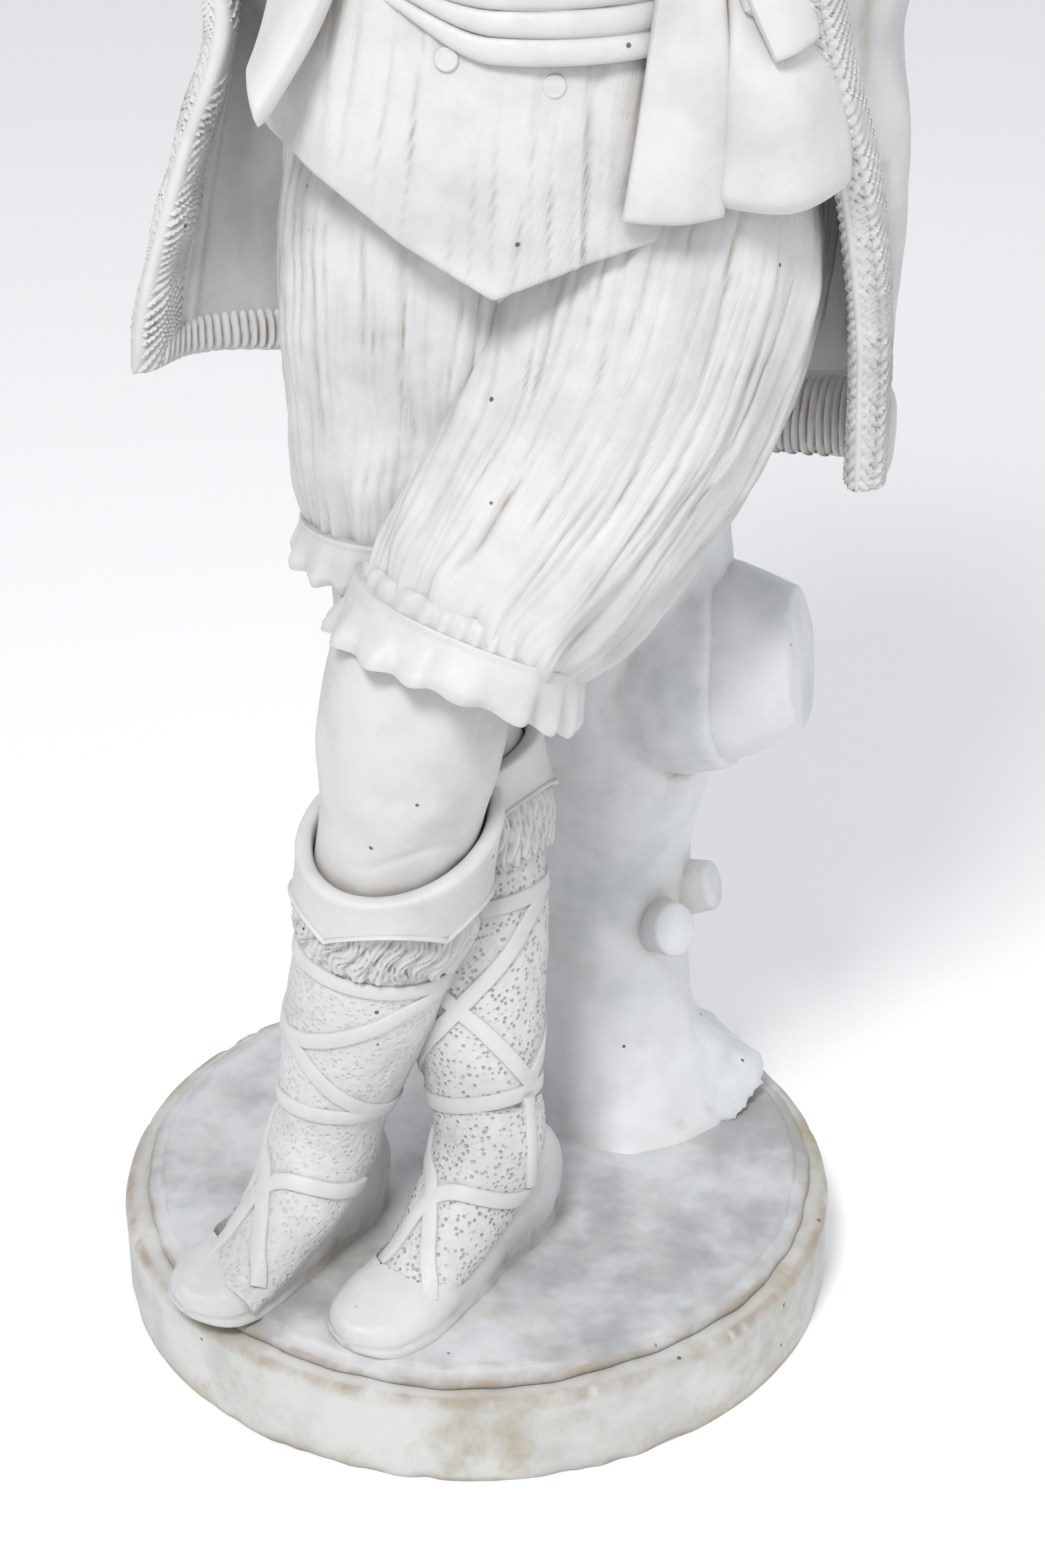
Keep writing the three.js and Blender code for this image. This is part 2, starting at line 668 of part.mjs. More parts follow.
const palm = limb(
  [
    [-52, -120, 1126, 26, 20, 20],
    [-26, -128, 1150, 32, 16, 16],
    [2, -124, 1168, 34, 14, 14],
    [14, -120, 1174, 30, 10, 10],
  ],
  { side: [-0.5, 0, 0.8], sides: 8 },
);
// A finger through its joints, one millimetre thinner at each.
const finger = (joints, radius) => {
  const spine = joints.map((p, i) => [...p, radius - i, radius - i, radius - i]);
  return limb(spine, { sides: 5, side: [0, 0.2, 1] });
};
// The fingers fan downwards from the first: knuckle, middle joint and tip.
const fanned = (i) => [
  [6 + 6 * i, -124, 1198 - 15 * i],
  [34 + 6 * i, -122, 1206 - 17 * i],
  [60 + 2 * i, -112, 1206 - 19 * i],
];
const thumb = finger([[-26, -128, 1176], [-14, -130, 1206], [2, -124, 1226]], THUMB_RADIUS);
const hand = [palm, thumb, ...[0, 1, 2, 3].map((i) => finger(fanned(i), FINGER_RADIUS))];

// ---------------------------------------------------------------- the two pieces

const marble = new THREE.MeshStandardMaterial({ color: 0xe6e6e4, roughness: 0.55, metalness: 0 });
const plinthMarble = new THREE.MeshStandardMaterial({ color: 0xd9d8d4, roughness: 0.6, metalness: 0 });

const statue = new THREE.Group();
const figure = new THREE.Mesh(
  geometryOf(joined([
    disc, ...stump, hips, rightThigh, leftThigh, ...calves, ...knees, ...feet,
    ...waist, torso, rightArm, leftArm, jacketRight, jacketLeft, cape, ...headParts, neck, ...hand,
  ], SEAT)),
  marble,
);
figure.name = "statue";
const base = new THREE.Mesh(plinth, plinthMarble);
base.name = "plinth";
statue.add(figure, base);

export default statue;
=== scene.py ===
"""A marble youth who leans on a tree stump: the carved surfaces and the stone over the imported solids.

Forms are written in millimetres in the part's own frame: +Z up, the youth faces -Y, and the origin is
under the plinth's centre. MM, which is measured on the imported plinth, turns them into metres.
"right" and "left" are the youth's own.
"""

import math

import bpy
import numpy as np
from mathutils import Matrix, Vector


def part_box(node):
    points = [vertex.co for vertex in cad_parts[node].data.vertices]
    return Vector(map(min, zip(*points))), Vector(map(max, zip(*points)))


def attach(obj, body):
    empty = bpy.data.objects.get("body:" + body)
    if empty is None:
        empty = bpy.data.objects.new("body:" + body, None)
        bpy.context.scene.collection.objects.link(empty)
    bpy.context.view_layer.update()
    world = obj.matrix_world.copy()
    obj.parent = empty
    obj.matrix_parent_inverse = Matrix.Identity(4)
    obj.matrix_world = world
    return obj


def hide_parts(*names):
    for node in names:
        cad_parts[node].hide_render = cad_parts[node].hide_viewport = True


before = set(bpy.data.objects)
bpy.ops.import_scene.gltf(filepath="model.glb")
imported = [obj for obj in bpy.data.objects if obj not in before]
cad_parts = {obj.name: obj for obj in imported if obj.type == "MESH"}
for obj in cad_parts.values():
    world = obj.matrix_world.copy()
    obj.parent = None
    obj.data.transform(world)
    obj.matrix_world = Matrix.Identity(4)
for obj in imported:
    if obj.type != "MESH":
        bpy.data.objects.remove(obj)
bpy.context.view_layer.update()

# ---------------------------------------------------------------- driving dimensions

PLINTH_WIDTH = 540  # across the plinth, which sets the scale of every form
GROUND = 84  # top of the carved disc, which the shoes and the stump stand on
HEAD_HEIGHT = 196  # chin to crown
SHOE_BURY = 4  # how far the soles run into the disc

plinth_low, plinth_high = (np.array(corner_shade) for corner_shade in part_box("plinth"))
MM = (plinth_high[0] - plinth_low[0]) / PLINTH_WIDTH
ORIGIN = np.array([*(plinth_low + plinth_high)[:2] / 2, plinth_low[2]])
PLINTH_HEIGHT = (plinth_high[2] - plinth_low[2]) / MM

TAU = 2 * math.pi
BACK = -TAU / 4  # the angle at which every limb's columns start and end
NUDGE = 0.02  # step of the finite differences
MARKS = ("hollow", "pits", "lines")  # per-point masks that the stone's nodes read
CLEAN = -1.0  # the hollow mark of a form that gets neither dirt nor painted shade
CREASE = 55  # degrees between two faces from which their edge is drawn sharp

# ---------------------------------------------------------------- curves and noise


def unit(v):
    """The vectors v at length 1."""
    return v / np.maximum(np.linalg.norm(v, axis=-1, keepdims=True), 1e-9)


def smooth(x):
    x = np.clip(x, 0, 1)
    return x * x * (3 - 2 * x)


def bump(x, width):
    """A rounded bump: 1 at x = 0, and near 0 from twice the width on."""
    return np.exp(-((x / width) ** 2))


def wrap(angle):
    """The same angle, within half a turn of 0."""
    return (angle + math.pi) % TAU - math.pi


def round_angles(count):
    """That many angles, evenly round from 0."""
    return TAU * np.arange(count) / count


def between(p, q, r, s, f):
    """The Catmull-Rom curve from q to r at share f, with p before them and s after."""
    a, b = (r - p) / 2, (s - q) / 2
    return q + f * (a + f * (3 * (r - q) - 2 * a - b + f * (2 * (q - r) + a + b)))


def along(rows, t):
    """Points at parameters t (0 to len(rows) - 1) of the Catmull-Rom curve through rows."""
    rows = np.asarray(rows, float)
    t = np.asarray(t, float)
    last = len(rows) - 1
    i = np.clip(np.floor(t).astype(int), 0, last - 1)
    f = (t - i).reshape(t.shape + (1,) * (rows.ndim - 1))
    return between(*(rows[np.clip(i + k, 0, last)] for k in (-1, 0, 1, 2)), f)


def travelled(points):
    """The distance from the first point of a row to each of its points."""
    steps = np.linalg.norm(np.diff(points, axis=-2), axis=-1)
    return np.insert(steps, 0, 0, axis=-1).cumsum(-1)


def ripple(points, size, seed, waves=9):
    """Smooth noise in space, about -1 to 1, with swells of about the given size."""
    rng = np.random.default_rng(seed)
    turns = unit(rng.normal(size=(waves, 3))) * rng.uniform(0.6, 1.5, (waves, 1)) * TAU / size
    return np.sin(points @ turns.T + rng.uniform(0, TAU, waves)).mean(-1) * 1.7


def strands(phase, sharpness=0.6):
    """Rounded strands side by side, one for each unit of phase: 1 on a strand, 0 between two."""
    return np.abs(np.sin(np.pi * phase)) ** sharpness


def spread(length, step, edge=3.0):
    """Shares 0 to 1 about one step apart on the given length, closer together at both ends."""
    inner = np.linspace(edge, length - edge, max(int((length - 2 * edge) / step), 2))
    near = edge * np.array([0, 0.1, 0.3, 0.6])
    return np.concatenate([near, inner, length - near[::-1]]) / length


def edge_round(distance, radius):
    """Share of the full thickness at a distance from a rounded edge."""
    return np.sqrt(np.clip(1 - (1 - np.clip(distance / radius, 0, 1)) ** 2, 0.0004, 1))


# ---------------------------------------------------------------- forms


class Form:
    """Points, four-sided and three-sided faces, and a value per point for each mark."""

    def __init__(self, points, quads, tris=(), flow=None, **marks):
        self.points = points.reshape(-1, 3)
        count = len(self.points)
        self.quads = np.asarray(quads, int).reshape(-1, 4)
        self.tris = np.asarray(tris, int).reshape(-1, 3)
        self.marks = {m: fit(marks.get(m, 0.0), points.shape[:-1], count) for m in MARKS}
        self.flow = np.zeros((count, 3)) if flow is None else flow.reshape(-1, 3)


def fit(values, shape, count):
    """One value for each point of a grid, and zeros for the points after them."""
    values = np.broadcast_to(values, shape).reshape(-1)
    return np.concatenate([values, np.zeros(count - len(values))])


def grid_quads(rows, columns, wrap_columns, wrap_rows=False):
    """The four-sided faces of a grid of points, closed round its columns or rows where asked."""
    i, j = np.meshgrid(
        np.arange(rows if wrap_rows else rows - 1),
        np.arange(columns if wrap_columns else columns - 1),
        indexing="ij",
    )
    i2, j2 = (i + 1) % rows, (j + 1) % columns
    corners = (i, j), (i, j2), (i2, j2), (i2, j)
    return np.stack([row * columns + column for row, column in corners], -1).reshape(-1, 4)


def ring_form(grid, caps=True, flow=None, **marks):
    """Rings of points, joined in order, with both ends capped, or joined into a torus."""
    rows, columns = grid.shape[:2]
    quads = grid_quads(rows, columns, True, not caps)
    if not caps:
        return Form(grid, quads, flow=flow, **marks)
    j = np.arange(columns)
    last = (rows - 1) * columns
    top, bottom = rows * columns, rows * columns + 1
    tris = np.concatenate([
        np.stack([np.full(columns, top), (j + 1) % columns, j], -1),
        np.stack([np.full(columns, bottom), last + j, last + (j + 1) % columns], -1),
    ])
    points = np.concatenate([grid.reshape(-1, 3), [grid[0].mean(0), grid[-1].mean(0)]])
    form = Form(points, quads, tris)
    for mark, values in marks.items():
        form.marks[mark] = fit(values, (rows, columns), len(points))
    if flow is not None:
        form.flow = np.concatenate([flow.reshape(-1, 3), np.zeros((2, 3))])
    return form


def plate(outer, inner, flow, **marks):
    """A closed sheet between two grids; seen from the outer side, rows run down, columns leftwards."""
    rows, columns = outer.shape[:2]
    half = rows * columns
    face = grid_quads(rows, columns, False)
    i, j = np.arange(rows - 1), np.arange(columns - 1)
    first, last = i * columns, i * columns + columns - 1
    top, bottom = j, (rows - 1) * columns + j
    rim = [
        np.stack([first, first + columns, first + columns + half, first + half], -1),
        np.stack([last + columns, last, last + half, last + columns + half], -1),
        np.stack([top + 1, top, top + half, top + 1 + half], -1),
        np.stack([bottom, bottom + 1, bottom + 1 + half, bottom + half], -1),
    ]
    quads = np.concatenate([face, face[:, ::-1] + half, *rim])
    both = {m: np.concatenate([np.broadcast_to(v, (rows, columns))] * 2) for m, v in marks.items()}
    return Form(np.concatenate([outer, inner]), quads, flow=np.concatenate([flow, flow]), **both)


class Loft:
    """A limb through stations [x, y, z, half width, depth in front, depth behind], listed downwards.

    At a station t, angle 0 points along side and a quarter turn to the front.
    """

    def __init__(self, stations, side=(1, 0, 0)):
        self.stations = np.array(stations, float)
        self.side = unit(np.array(side, float))
        self.last = len(stations) - 1

    def radius(self, t):
        at = along(self.stations, t)
        return (2 * at[..., 3] + at[..., 4] + at[..., 5]) / 4

    def down(self, t):
        """Distance along the axis from the first station, in millimetres."""
        fine = np.linspace(0, self.last, 200)
        return np.interp(t, fine, travelled(along(self.stations, fine)[:, :3]))

    def even(self, step, start=0, end=None):
        """Stations t about one step apart along the axis."""
        fine = np.linspace(start, self.last if end is None else end, 200)
        far = self.down(fine)
        return np.interp(np.linspace(far[0], far[-1], int((far[-1] - far[0]) / step) + 2), far, fine)

    def point(self, t, angle):
        at = along(self.stations, t)
        ahead = along(self.stations, np.minimum(np.add(t, 0.05), self.last))
        behind = along(self.stations, np.maximum(np.subtract(t, 0.05), 0))
        run = unit((ahead - behind)[..., :3])
        across = unit(self.side - run * (run @ self.side)[..., None])
        front = np.cross(run, across)
        c, s = np.cos(angle), np.sin(angle)
        depth = np.where(s > 0, at[..., 4], at[..., 5])
        return at[..., :3] + across * (at[..., 3] * c)[..., None] + front * (depth * s)[..., None]

    def normal(self, t, angle):
        low, high = np.maximum(np.subtract(t, NUDGE), 0), np.minimum(np.add(t, NUDGE), self.last)
        du = self.point(t, np.add(angle, NUDGE)) - self.point(t, np.subtract(angle, NUDGE))
        return unit(np.cross(du, self.point(high, angle) - self.point(low, angle)))

    def form(self, step, relief=None, start=0, end=None, around=None, rows=None, **marks):
        """The limb's closed surface with relief(t, angle, points) in millimetres along its normals."""
        t = self.even(rows or step, start, end)[:, None]
        columns = around or int(TAU * self.radius(t).max() / step)
        angle = BACK + round_angles(columns)[None]
        grid = self.point(t, angle)
        if relief:
            grid = grid + self.normal(t, angle) * relief(t, angle, grid)[..., None]
        flow = np.stack(np.broadcast_arrays(angle * self.radius(t).mean(), self.down(t), 0.0), -1)
        return ring_form(grid, flow=flow, **marks)

    def strap(self, t, angle, width=12, height=1.9):
        """A flat band carved along the path t, angle over the limb's surface."""
        at = self.point(t, angle)
        out = self.normal(t, angle)
        run = unit(np.gradient(at, axis=0))
        across = np.cross(out, run)
        profile = np.array([[-0.5, -2.5], [-0.5, 0.4 * height], [-0.47, 0.85 * height], [-0.4, height],
                            [0, 1.15 * height], [0.4, height], [0.47, 0.85 * height], [0.5, 0.4 * height],
                            [0.5, -2.5]])
        grid = (at[:, None] + across[:, None] * (profile[:, :1] * width)
                + out[:, None] * profile[:, 1:])
        grid = grid[:-1] if np.linalg.norm(at[0] - at[-1]) < 1e-6 else grid
        return ring_form(grid, caps=len(grid) == len(at), hollow=np.full(grid.shape[:2], CLEAN))


def hoop(at, down, a, b, profile, count, side=(1, 0, 0)):
    """A band round a limb: profile(angle) gives rows of out and up from the ellipse a by b."""
    run = unit(np.array(down, float))
    across = unit(np.array(side, float) - run * np.dot(side, run))
    front = np.cross(run, across)
    angle = BACK + round_angles(count)
    out, up = (values[..., None] for values in profile(angle))
    c, s = np.cos(angle)[None, :, None], np.sin(angle)[None, :, None]
    grid = np.array(at) + across * (a + out) * c + front * (b + out) * s - run * up
    flow = np.stack(np.broadcast_arrays(angle[None] * a, -up[..., 0], 0.0), -1)
    return ring_form(grid, caps=False, flow=flow)


class Cloth:
    """A sheet through a grid of control points; the outer side is the one that faces outwards."""

    def __init__(self, grid, outward=1, straight_hem=False):
        self.grid = np.array(grid, float)
        self.outward = outward
        self.straight_hem = straight_hem
        self.last_u = self.grid.shape[1] - 1
        self.last_v = self.grid.shape[0] - 1

    def point(self, u, v):
        """Points at u across and v down, two arrays of one shape."""
        i = np.clip(np.floor(v).astype(int), 0, self.last_v - 1)
        rows = np.stack([along(row, u) for row in self.grid])
        if self.straight_hem:
            knots = np.arange(self.last_u + 1)
            rows[-1] = np.stack([np.interp(u, knots, axis) for axis in self.grid[-1].T], -1)
        near = (np.clip(i + k, 0, self.last_v)[None, ..., None] for k in (-1, 0, 1, 2))
        return between(*(np.take_along_axis(rows, row, 0)[0] for row in near), (v - i)[..., None])

    def normal(self, u, v):
        du = self.point(np.minimum(u + NUDGE, self.last_u), v) - self.point(np.maximum(u - NUDGE, 0), v)
        dv = self.point(u, np.minimum(v + NUDGE, self.last_v)) - self.point(u, np.maximum(v - NUDGE, 0))
        return unit(np.cross(du, dv)) * self.outward

    def inward_u(self, v, distance, from_end=False):
        """The u that lies a distance in from one side edge, at each v."""
        fine = np.linspace(0, self.last_u, 240)
        if from_end:
            fine = fine[::-1]
        far = travelled(self.point(*np.broadcast_arrays(fine[None], v[:, None])))
        distance = np.broadcast_to(distance, (len(v), np.shape(distance)[-1]))
        return np.stack([np.interp(wanted, row, fine) for wanted, row in zip(distance, far)])

    def form(self, u, v, thickness, relief=None, back=None, clamp=None, taper=3.0, keen=None, lift=0.0,
             **marks):
        """A closed sheet over the given u, v with relief(u, v, points) outside and back(...) inside.

        Its edges are rounded over taper millimetres, and the relief fades over keen millimetres.
        """
        at = self.point(u, v)
        out = self.normal(u, v)
        du = np.linalg.norm(np.gradient(at, axis=1), axis=-1).cumsum(1)
        dv = np.linalg.norm(np.gradient(at, axis=0), axis=-1).cumsum(0)
        side = np.minimum(du - du[:, :1], du[:, -1:] - du)
        end = np.minimum(dv - dv[:1], dv[-1:] - dv)
        share = edge_round(side, taper) * edge_round(end, taper)
        half = thickness / 2 * share
        fade = edge_round(side, keen) * edge_round(end, keen) if keen else share
        more = relief(u, v, at) * fade if relief else 0 * half
        less = back(u, v, at) * fade if back else 0 * half
        outer = at + out * (half + more + lift)[..., None]
        inner = at - out * (half + less - lift)[..., None]
        if clamp is not None:
            inner[..., 1] = np.minimum(inner[..., 1], clamp)
        flow = np.stack([du, dv, 0 * du], -1)
        if self.outward < 0:
            outer, inner, flow = outer[:, ::-1], inner[:, ::-1], flow[:, ::-1]
            marks = {m: np.broadcast_to(value, at.shape[:2])[:, ::-1] for m, value in marks.items()}
        return plate(outer, inner, flow=flow, **marks)

    def whole(self, across, down, thickness, relief=None, **rest):
        """The whole sheet, with steps of about across and down millimetres."""
        middle = self.grid[self.last_v // 2]
        width = np.linalg.norm(np.diff(middle, axis=0), axis=1).sum()
        height = np.linalg.norm(np.diff(self.grid[:, self.last_u // 2], axis=0), axis=1).sum()
        u, v = np.meshgrid(spread(width, across) * self.last_u, spread(height, down) * self.last_v)
        return self.form(u, v, thickness, relief, **rest)


# ---------------------------------------------------------------- objects


def placed(name, data):
    """A new object in the scene."""
    thing = bpy.data.objects.new(name, data)
    bpy.context.collection.objects.link(thing)
    return thing


def of_vertices(mesh, what):
    """The points ("co") or normals ("normal") of a mesh, one row for each vertex."""
    values = np.empty(len(mesh.vertices) * 3)
    mesh.vertices.foreach_get(what, values)
    return values.reshape(-1, 3)


def mesh_of(name, forms):
    """One mesh of all the forms, in metres."""
    start, faces = 0, []
    for form in forms:
        faces += (form.quads + start).tolist() + (form.tris + start).tolist()
        start += len(form.points)
    mesh = bpy.data.meshes.new(name)
    mesh.from_pydata(np.concatenate([f.points for f in forms]) * MM + ORIGIN, [], faces)
    return mesh


def fused(forms, voxel, passes):
    """The forms as one smooth skin: a voxel remesh of their union, evened out."""
    mesh = mesh_of("fusing", forms)
    piece = placed("fusing", mesh)
    remesh = piece.modifiers.new("union", "REMESH")
    remesh.mode = "VOXEL"
    remesh.voxel_size = voxel * MM
    even = piece.modifiers.new("even", "SMOOTH")
    even.iterations = passes
    even.factor = 0.5
    bpy.context.view_layer.update()
    done = bpy.data.meshes.new_from_object(piece.evaluated_get(bpy.context.evaluated_depsgraph_get()))
    points, normals = of_vertices(done, "co"), of_vertices(done, "normal")
    quads = np.array([tuple(p.vertices) for p in done.polygons if len(p.vertices) == 4])
    tris = np.array([tuple(p.vertices) for p in done.polygons if len(p.vertices) == 3])
    bpy.data.objects.remove(piece)
    for used in (mesh, done):
        bpy.data.meshes.remove(used)
    form = Form((points - ORIGIN) / MM, quads, tris)
    form.normals = normals
    return form


def depth_below(mesh, rounds=7):
    """How deep each point lies under the evened-out surface round it, in millimetres."""
    count = len(mesh.vertices)
    points, normals = of_vertices(mesh, "co"), of_vertices(mesh, "normal")
    ends = np.empty(len(mesh.edges) * 2, int)
    mesh.edges.foreach_get("vertices", ends)
    a, b = ends.reshape(-1, 2).T
    degree = np.maximum(np.bincount(a, minlength=count) + np.bincount(b, minlength=count), 1)

    def nearby(values):
        return (np.bincount(a, values[b], count) + np.bincount(b, values[a], count)) / degree

    even = points
    for _ in range(rounds):
        even = 0.5 * even + 0.5 * np.stack([nearby(axis) for axis in even.T], -1)
    return ((even - points) * normals).sum(1) / MM


def carve(name, forms, material, node="statue"):
    """The visible piece made of the forms, in place of a CAD node."""
    mesh = mesh_of(name, forms)
    mesh.shade_smooth()
    mesh.set_sharp_from_angle(angle=math.radians(CREASE))
    marks = {mark: np.concatenate([f.marks[mark] for f in forms]) for mark in MARKS}
    # The hollow mark is dirt and painted shade: the deeper a point lies in a crease, the darker its stone.
    dirt_and_shade = np.maximum(marks["hollow"], smooth((depth_below(mesh) - 0.18) / 1.1))
    marks["hollow"] = np.where(marks["hollow"] == CLEAN, 0, dirt_and_shade)
    for mark, given in marks.items():
        values = mesh.attributes.new(mark, "FLOAT", "POINT")
        values.data.foreach_set("value", given.astype(np.float32))
    flow = np.concatenate([f.flow for f in forms]) * MM
    vectors = mesh.attributes.new("flow", "FLOAT_VECTOR", "POINT")
    vectors.data.foreach_set("vector", flow.ravel().astype(np.float32))
    mesh.materials.append(material)
    piece = placed(name, mesh)
    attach(piece, "root")
    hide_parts(node)


# ---------------------------------------------------------------- stone


class Nodes:
    """A new material and short calls for its nodes."""

    def __init__(self, name):
        self.material = bpy.data.materials.new(name)
        self.material.use_nodes = True
        self.tree = self.material.node_tree
        self.shader = self.tree.nodes["Principled BSDF"]
        self.place = self.add("TexCoord").outputs["Object"]

    def add(self, kind, inputs=None, **settings):
        node = self.tree.nodes.new("ShaderNode" + kind)
        for key, value in settings.items():
            setattr(node, key, value)
        for key, value in (inputs or {}).items():
            self.feed(node.inputs[key], value)
        return node

    def feed(self, socket, value):
        if isinstance(value, bpy.types.NodeSocket):
            self.tree.links.new(value, socket)
        else:
            socket.default_value = value

    def noise(self, scale, detail=4, roughness=0.6, vector=None):
        inputs = {"Vector": vector or self.place, "Scale": scale, "Detail": detail, "Roughness": roughness}
        return self.add("TexNoise", inputs).outputs["Fac"]

    def steps(self, value, low, high, to_low=0.0, to_high=1.0):
        inputs = {"Value": value, "From Min": low, "From Max": high, "To Min": to_low, "To Max": to_high}
        return self.add("MapRange", inputs, interpolation_type="SMOOTHSTEP").outputs["Result"]

    def math(self, operation, a, b=0.0):
        return self.add("Math", {0: a, 1: b}, operation=operation).outputs[0]

    def mix(self, share, a, b):
        return self.add("Mix", {0: share, 6: a, 7: b}, data_type="RGBA").outputs[2]

    def mark(self, name, output="Fac"):
        return self.add("Attribute", attribute_name=name).outputs[output]

    def scaled(self, vector, x, y, z):
        return self.add("Mapping", {"Vector": vector, "Scale": (x, y, z)}).outputs["Vector"]


def rgb(red, green, blue):
    """A linear colour from a display one."""
    return (*(((c + 0.055) / 1.055) ** 2.4 for c in (red, green, blue)), 1)


def marble(name, white, grey, grey_share, stain_share, roughness=0.5):
    """Weathered white marble: soft grey clouds, warm dirt and painted shade in its hollows and corners,
    black specks, fine tooling.
    """
    n = Nodes(name)
    clouds = n.steps(n.noise(9, 4, 0.62), 0.4, 0.68, 0, grey_share)
    colour = n.mix(clouds, white, grey)
    # Warm dirt and painted shade: what is carved deep, and corners that the ambient occlusion finds near
    # other stone, are tinted a darker warm grey, more in some places than in others.
    patch = n.noise(24, 4, 0.65)
    # Painted shade: the ambient occlusion darkens corners and crevices within 22 mm of other stone.
    near = n.add("AmbientOcclusion", {"Distance": 0.022})
    near.samples = 1
    corner_shade = n.steps(near.outputs["AO"], 0.72, 0.25, 0, 0.8)
    deep = n.math("MAXIMUM", n.mark("hollow"), corner_shade)
    dirt_and_shade = n.math("MULTIPLY", deep, n.steps(patch, 0.34, 0.66, 0.2, 0.9))
    colour = n.mix(dirt_and_shade, colour, rgb(0.60, 0.55, 0.49))
    # Brown-green stains where rain runs and soil lies.
    stain = n.math("MULTIPLY", n.steps(n.noise(13, 5, 0.68), 0.5, 0.72), stain_share)
    colour = n.mix(stain, colour, rgb(0.64, 0.60, 0.50))
    # Small black specks, in a few places only.
    cells = n.add("TexVoronoi", {"Vector": n.place, "Scale": 62.0, "Randomness": 1.0})
    dot = n.steps(cells.outputs["Distance"], 0.13, 0.07)
    few = n.steps(n.add("SeparateColor", {0: cells.outputs["Color"]}).outputs[0], 0.94, 0.955)
    colour = n.mix(n.math("MULTIPLY", dot, few), colour, rgb(0.36, 0.35, 0.33))
    # Drilled pits of the knitted stockings, dark only in places: the darkening in the holes is painted shade
    # with dirt.
    holes = n.add("TexVoronoi", {"Vector": n.place, "Scale": 225.0, "Randomness": 0.85}).outputs["Distance"]
    pit = n.math("MULTIPLY", n.steps(holes, 0.4, 0.1), n.mark("pits"))
    core = n.math("MULTIPLY", n.steps(holes, 0.3, 0.13), n.steps(n.mark("pits"), 0.45, 1.0))
    dark = n.math("MULTIPLY", core, n.steps(patch, 0.36, 0.62, 0.2, 0.6))
    colour = n.mix(dark, colour, rgb(0.45, 0.43, 0.41))
    # Tooling lines that run along the cloth, and the grain of the stone.
    fine = n.steps(n.noise(1.0, 3, 0.62, n.scaled(n.mark("flow", "Vector"), 250, 8, 1)), 0.32, 0.68)
    lines = n.math("MULTIPLY", n.math("MULTIPLY", fine, n.steps(patch, 0.4, 0.6, 0.2, 1.0)), n.mark("lines"))
    worn = n.noise(130, 4, 0.62)
    height = n.math("ADD", n.math("MULTIPLY", lines, 0.00045), n.math("MULTIPLY", worn, 0.0006))
    height = n.math("SUBTRACT", height, n.math("MULTIPLY", pit, 0.0024))
    relief = n.add("Bump", {"Height": height, "Strength": 0.7, "Distance": 1.0})
    n.feed(n.shader.inputs["Base Color"], colour)
    n.feed(n.shader.inputs["Normal"], relief.outputs["Normal"])
    n.feed(n.shader.inputs["Roughness"], n.steps(worn, 0.3, 0.7, roughness - 0.08, roughness + 0.1))
    n.shader.inputs["Specular IOR Level"].default_value = 0.35
    return n.material


figure_stone = marble("figure_marble", rgb(0.805, 0.802, 0.8), rgb(0.725, 0.725, 0.73), 0.85, 0.12)
stump_stone = marble("stump_marble", rgb(0.84, 0.845, 0.85), rgb(0.74, 0.75, 0.76), 0.85, 0.12)
disc_stone = marble("disc_marble", rgb(0.79, 0.795, 0.8), rgb(0.60, 0.605, 0.615), 0.9, 0.25, 0.58)
plinth_stone = marble("plinth_marble", rgb(0.80, 0.8, 0.79), rgb(0.69, 0.685, 0.67), 0.85, 0.7, 0.6)

# ---------------------------------------------------------------- breeches


GROOVE_PITCH = 9.0  # mean distance between two grooves of a leg
GROOVE_DEPTH = 2.4


def terrace(gap, width, lean, reach):
    """A step up on one side of a groove: 1 beside it, and fading over the reach."""
    return np.where(gap * lean > 0, np.exp(-np.abs(gap) / reach), 0) * (1 - bump(gap, width))


def grooves(t, angle, radius, seed):
    """The uneven stripes of the cloth: grooves that wander down the leg."""
    rng = np.random.default_rng(seed)
    centres = np.cumsum(rng.uniform(0.35, 1.65, int(TAU * radius.max() / GROOVE_PITCH)))
    centres *= TAU / centres[-1]
    height = np.zeros(np.broadcast(t, angle).shape)
    common = 0.03 * np.sin(1.7 * t + 0.5) + 0.015 * np.sin(4.1 * t)
    for centre in centres:
        pace, phase, weight, width = rng.uniform([0.8, 0, 0.2, 1.6], [3.2, TAU, 1.0, 3.2])
        lean = rng.choice([-1, 1])
        sway = common + 0.018 * np.sin(pace * t + phase)
        strength = weight * (0.6 + 0.4 * np.sin((4 - pace) * t + 2 * phase))
        gap = wrap(angle - centre - sway) * radius
        height += GROOVE_DEPTH * strength * (0.7 * terrace(gap, width, lean, 5.5) - bump(gap, width))
    return height


def breeches_leg(loft, seed, folds, gather_from):
    """A leg of the breeches with its stripes, its folds, and the gathers above the knee."""

    def relief(t, angle, points):
        radius = loft.radius(t)
        height = grooves(t, angle, radius, seed)
        height += 1.7 * np.sin(13 * angle + 1.2 * np.sin(1.6 * t) + seed) * smooth(t / 2)
        for centre, first, last, size, width, sway in folds:
            there = smooth((t - first) / 0.8) * smooth((last - t) / 0.8)
            path = np.radians(centre) + sway * np.sin(2.3 * t + centre)
            height += size * there * bump(wrap(angle - path) * radius, width)
        gathers = smooth((t - gather_from) / (loft.last - gather_from))
        height += gathers * (1.9 * np.sin(26 * angle + 2 * np.sin(5 * angle)) - 1.0)
        height += 2.4 * ripple(points, 95, seed) + 0.9 * ripple(points, 32, seed + 1)
        return height

    return loft.form(2.0, relief, rows=5, lines=1.0)


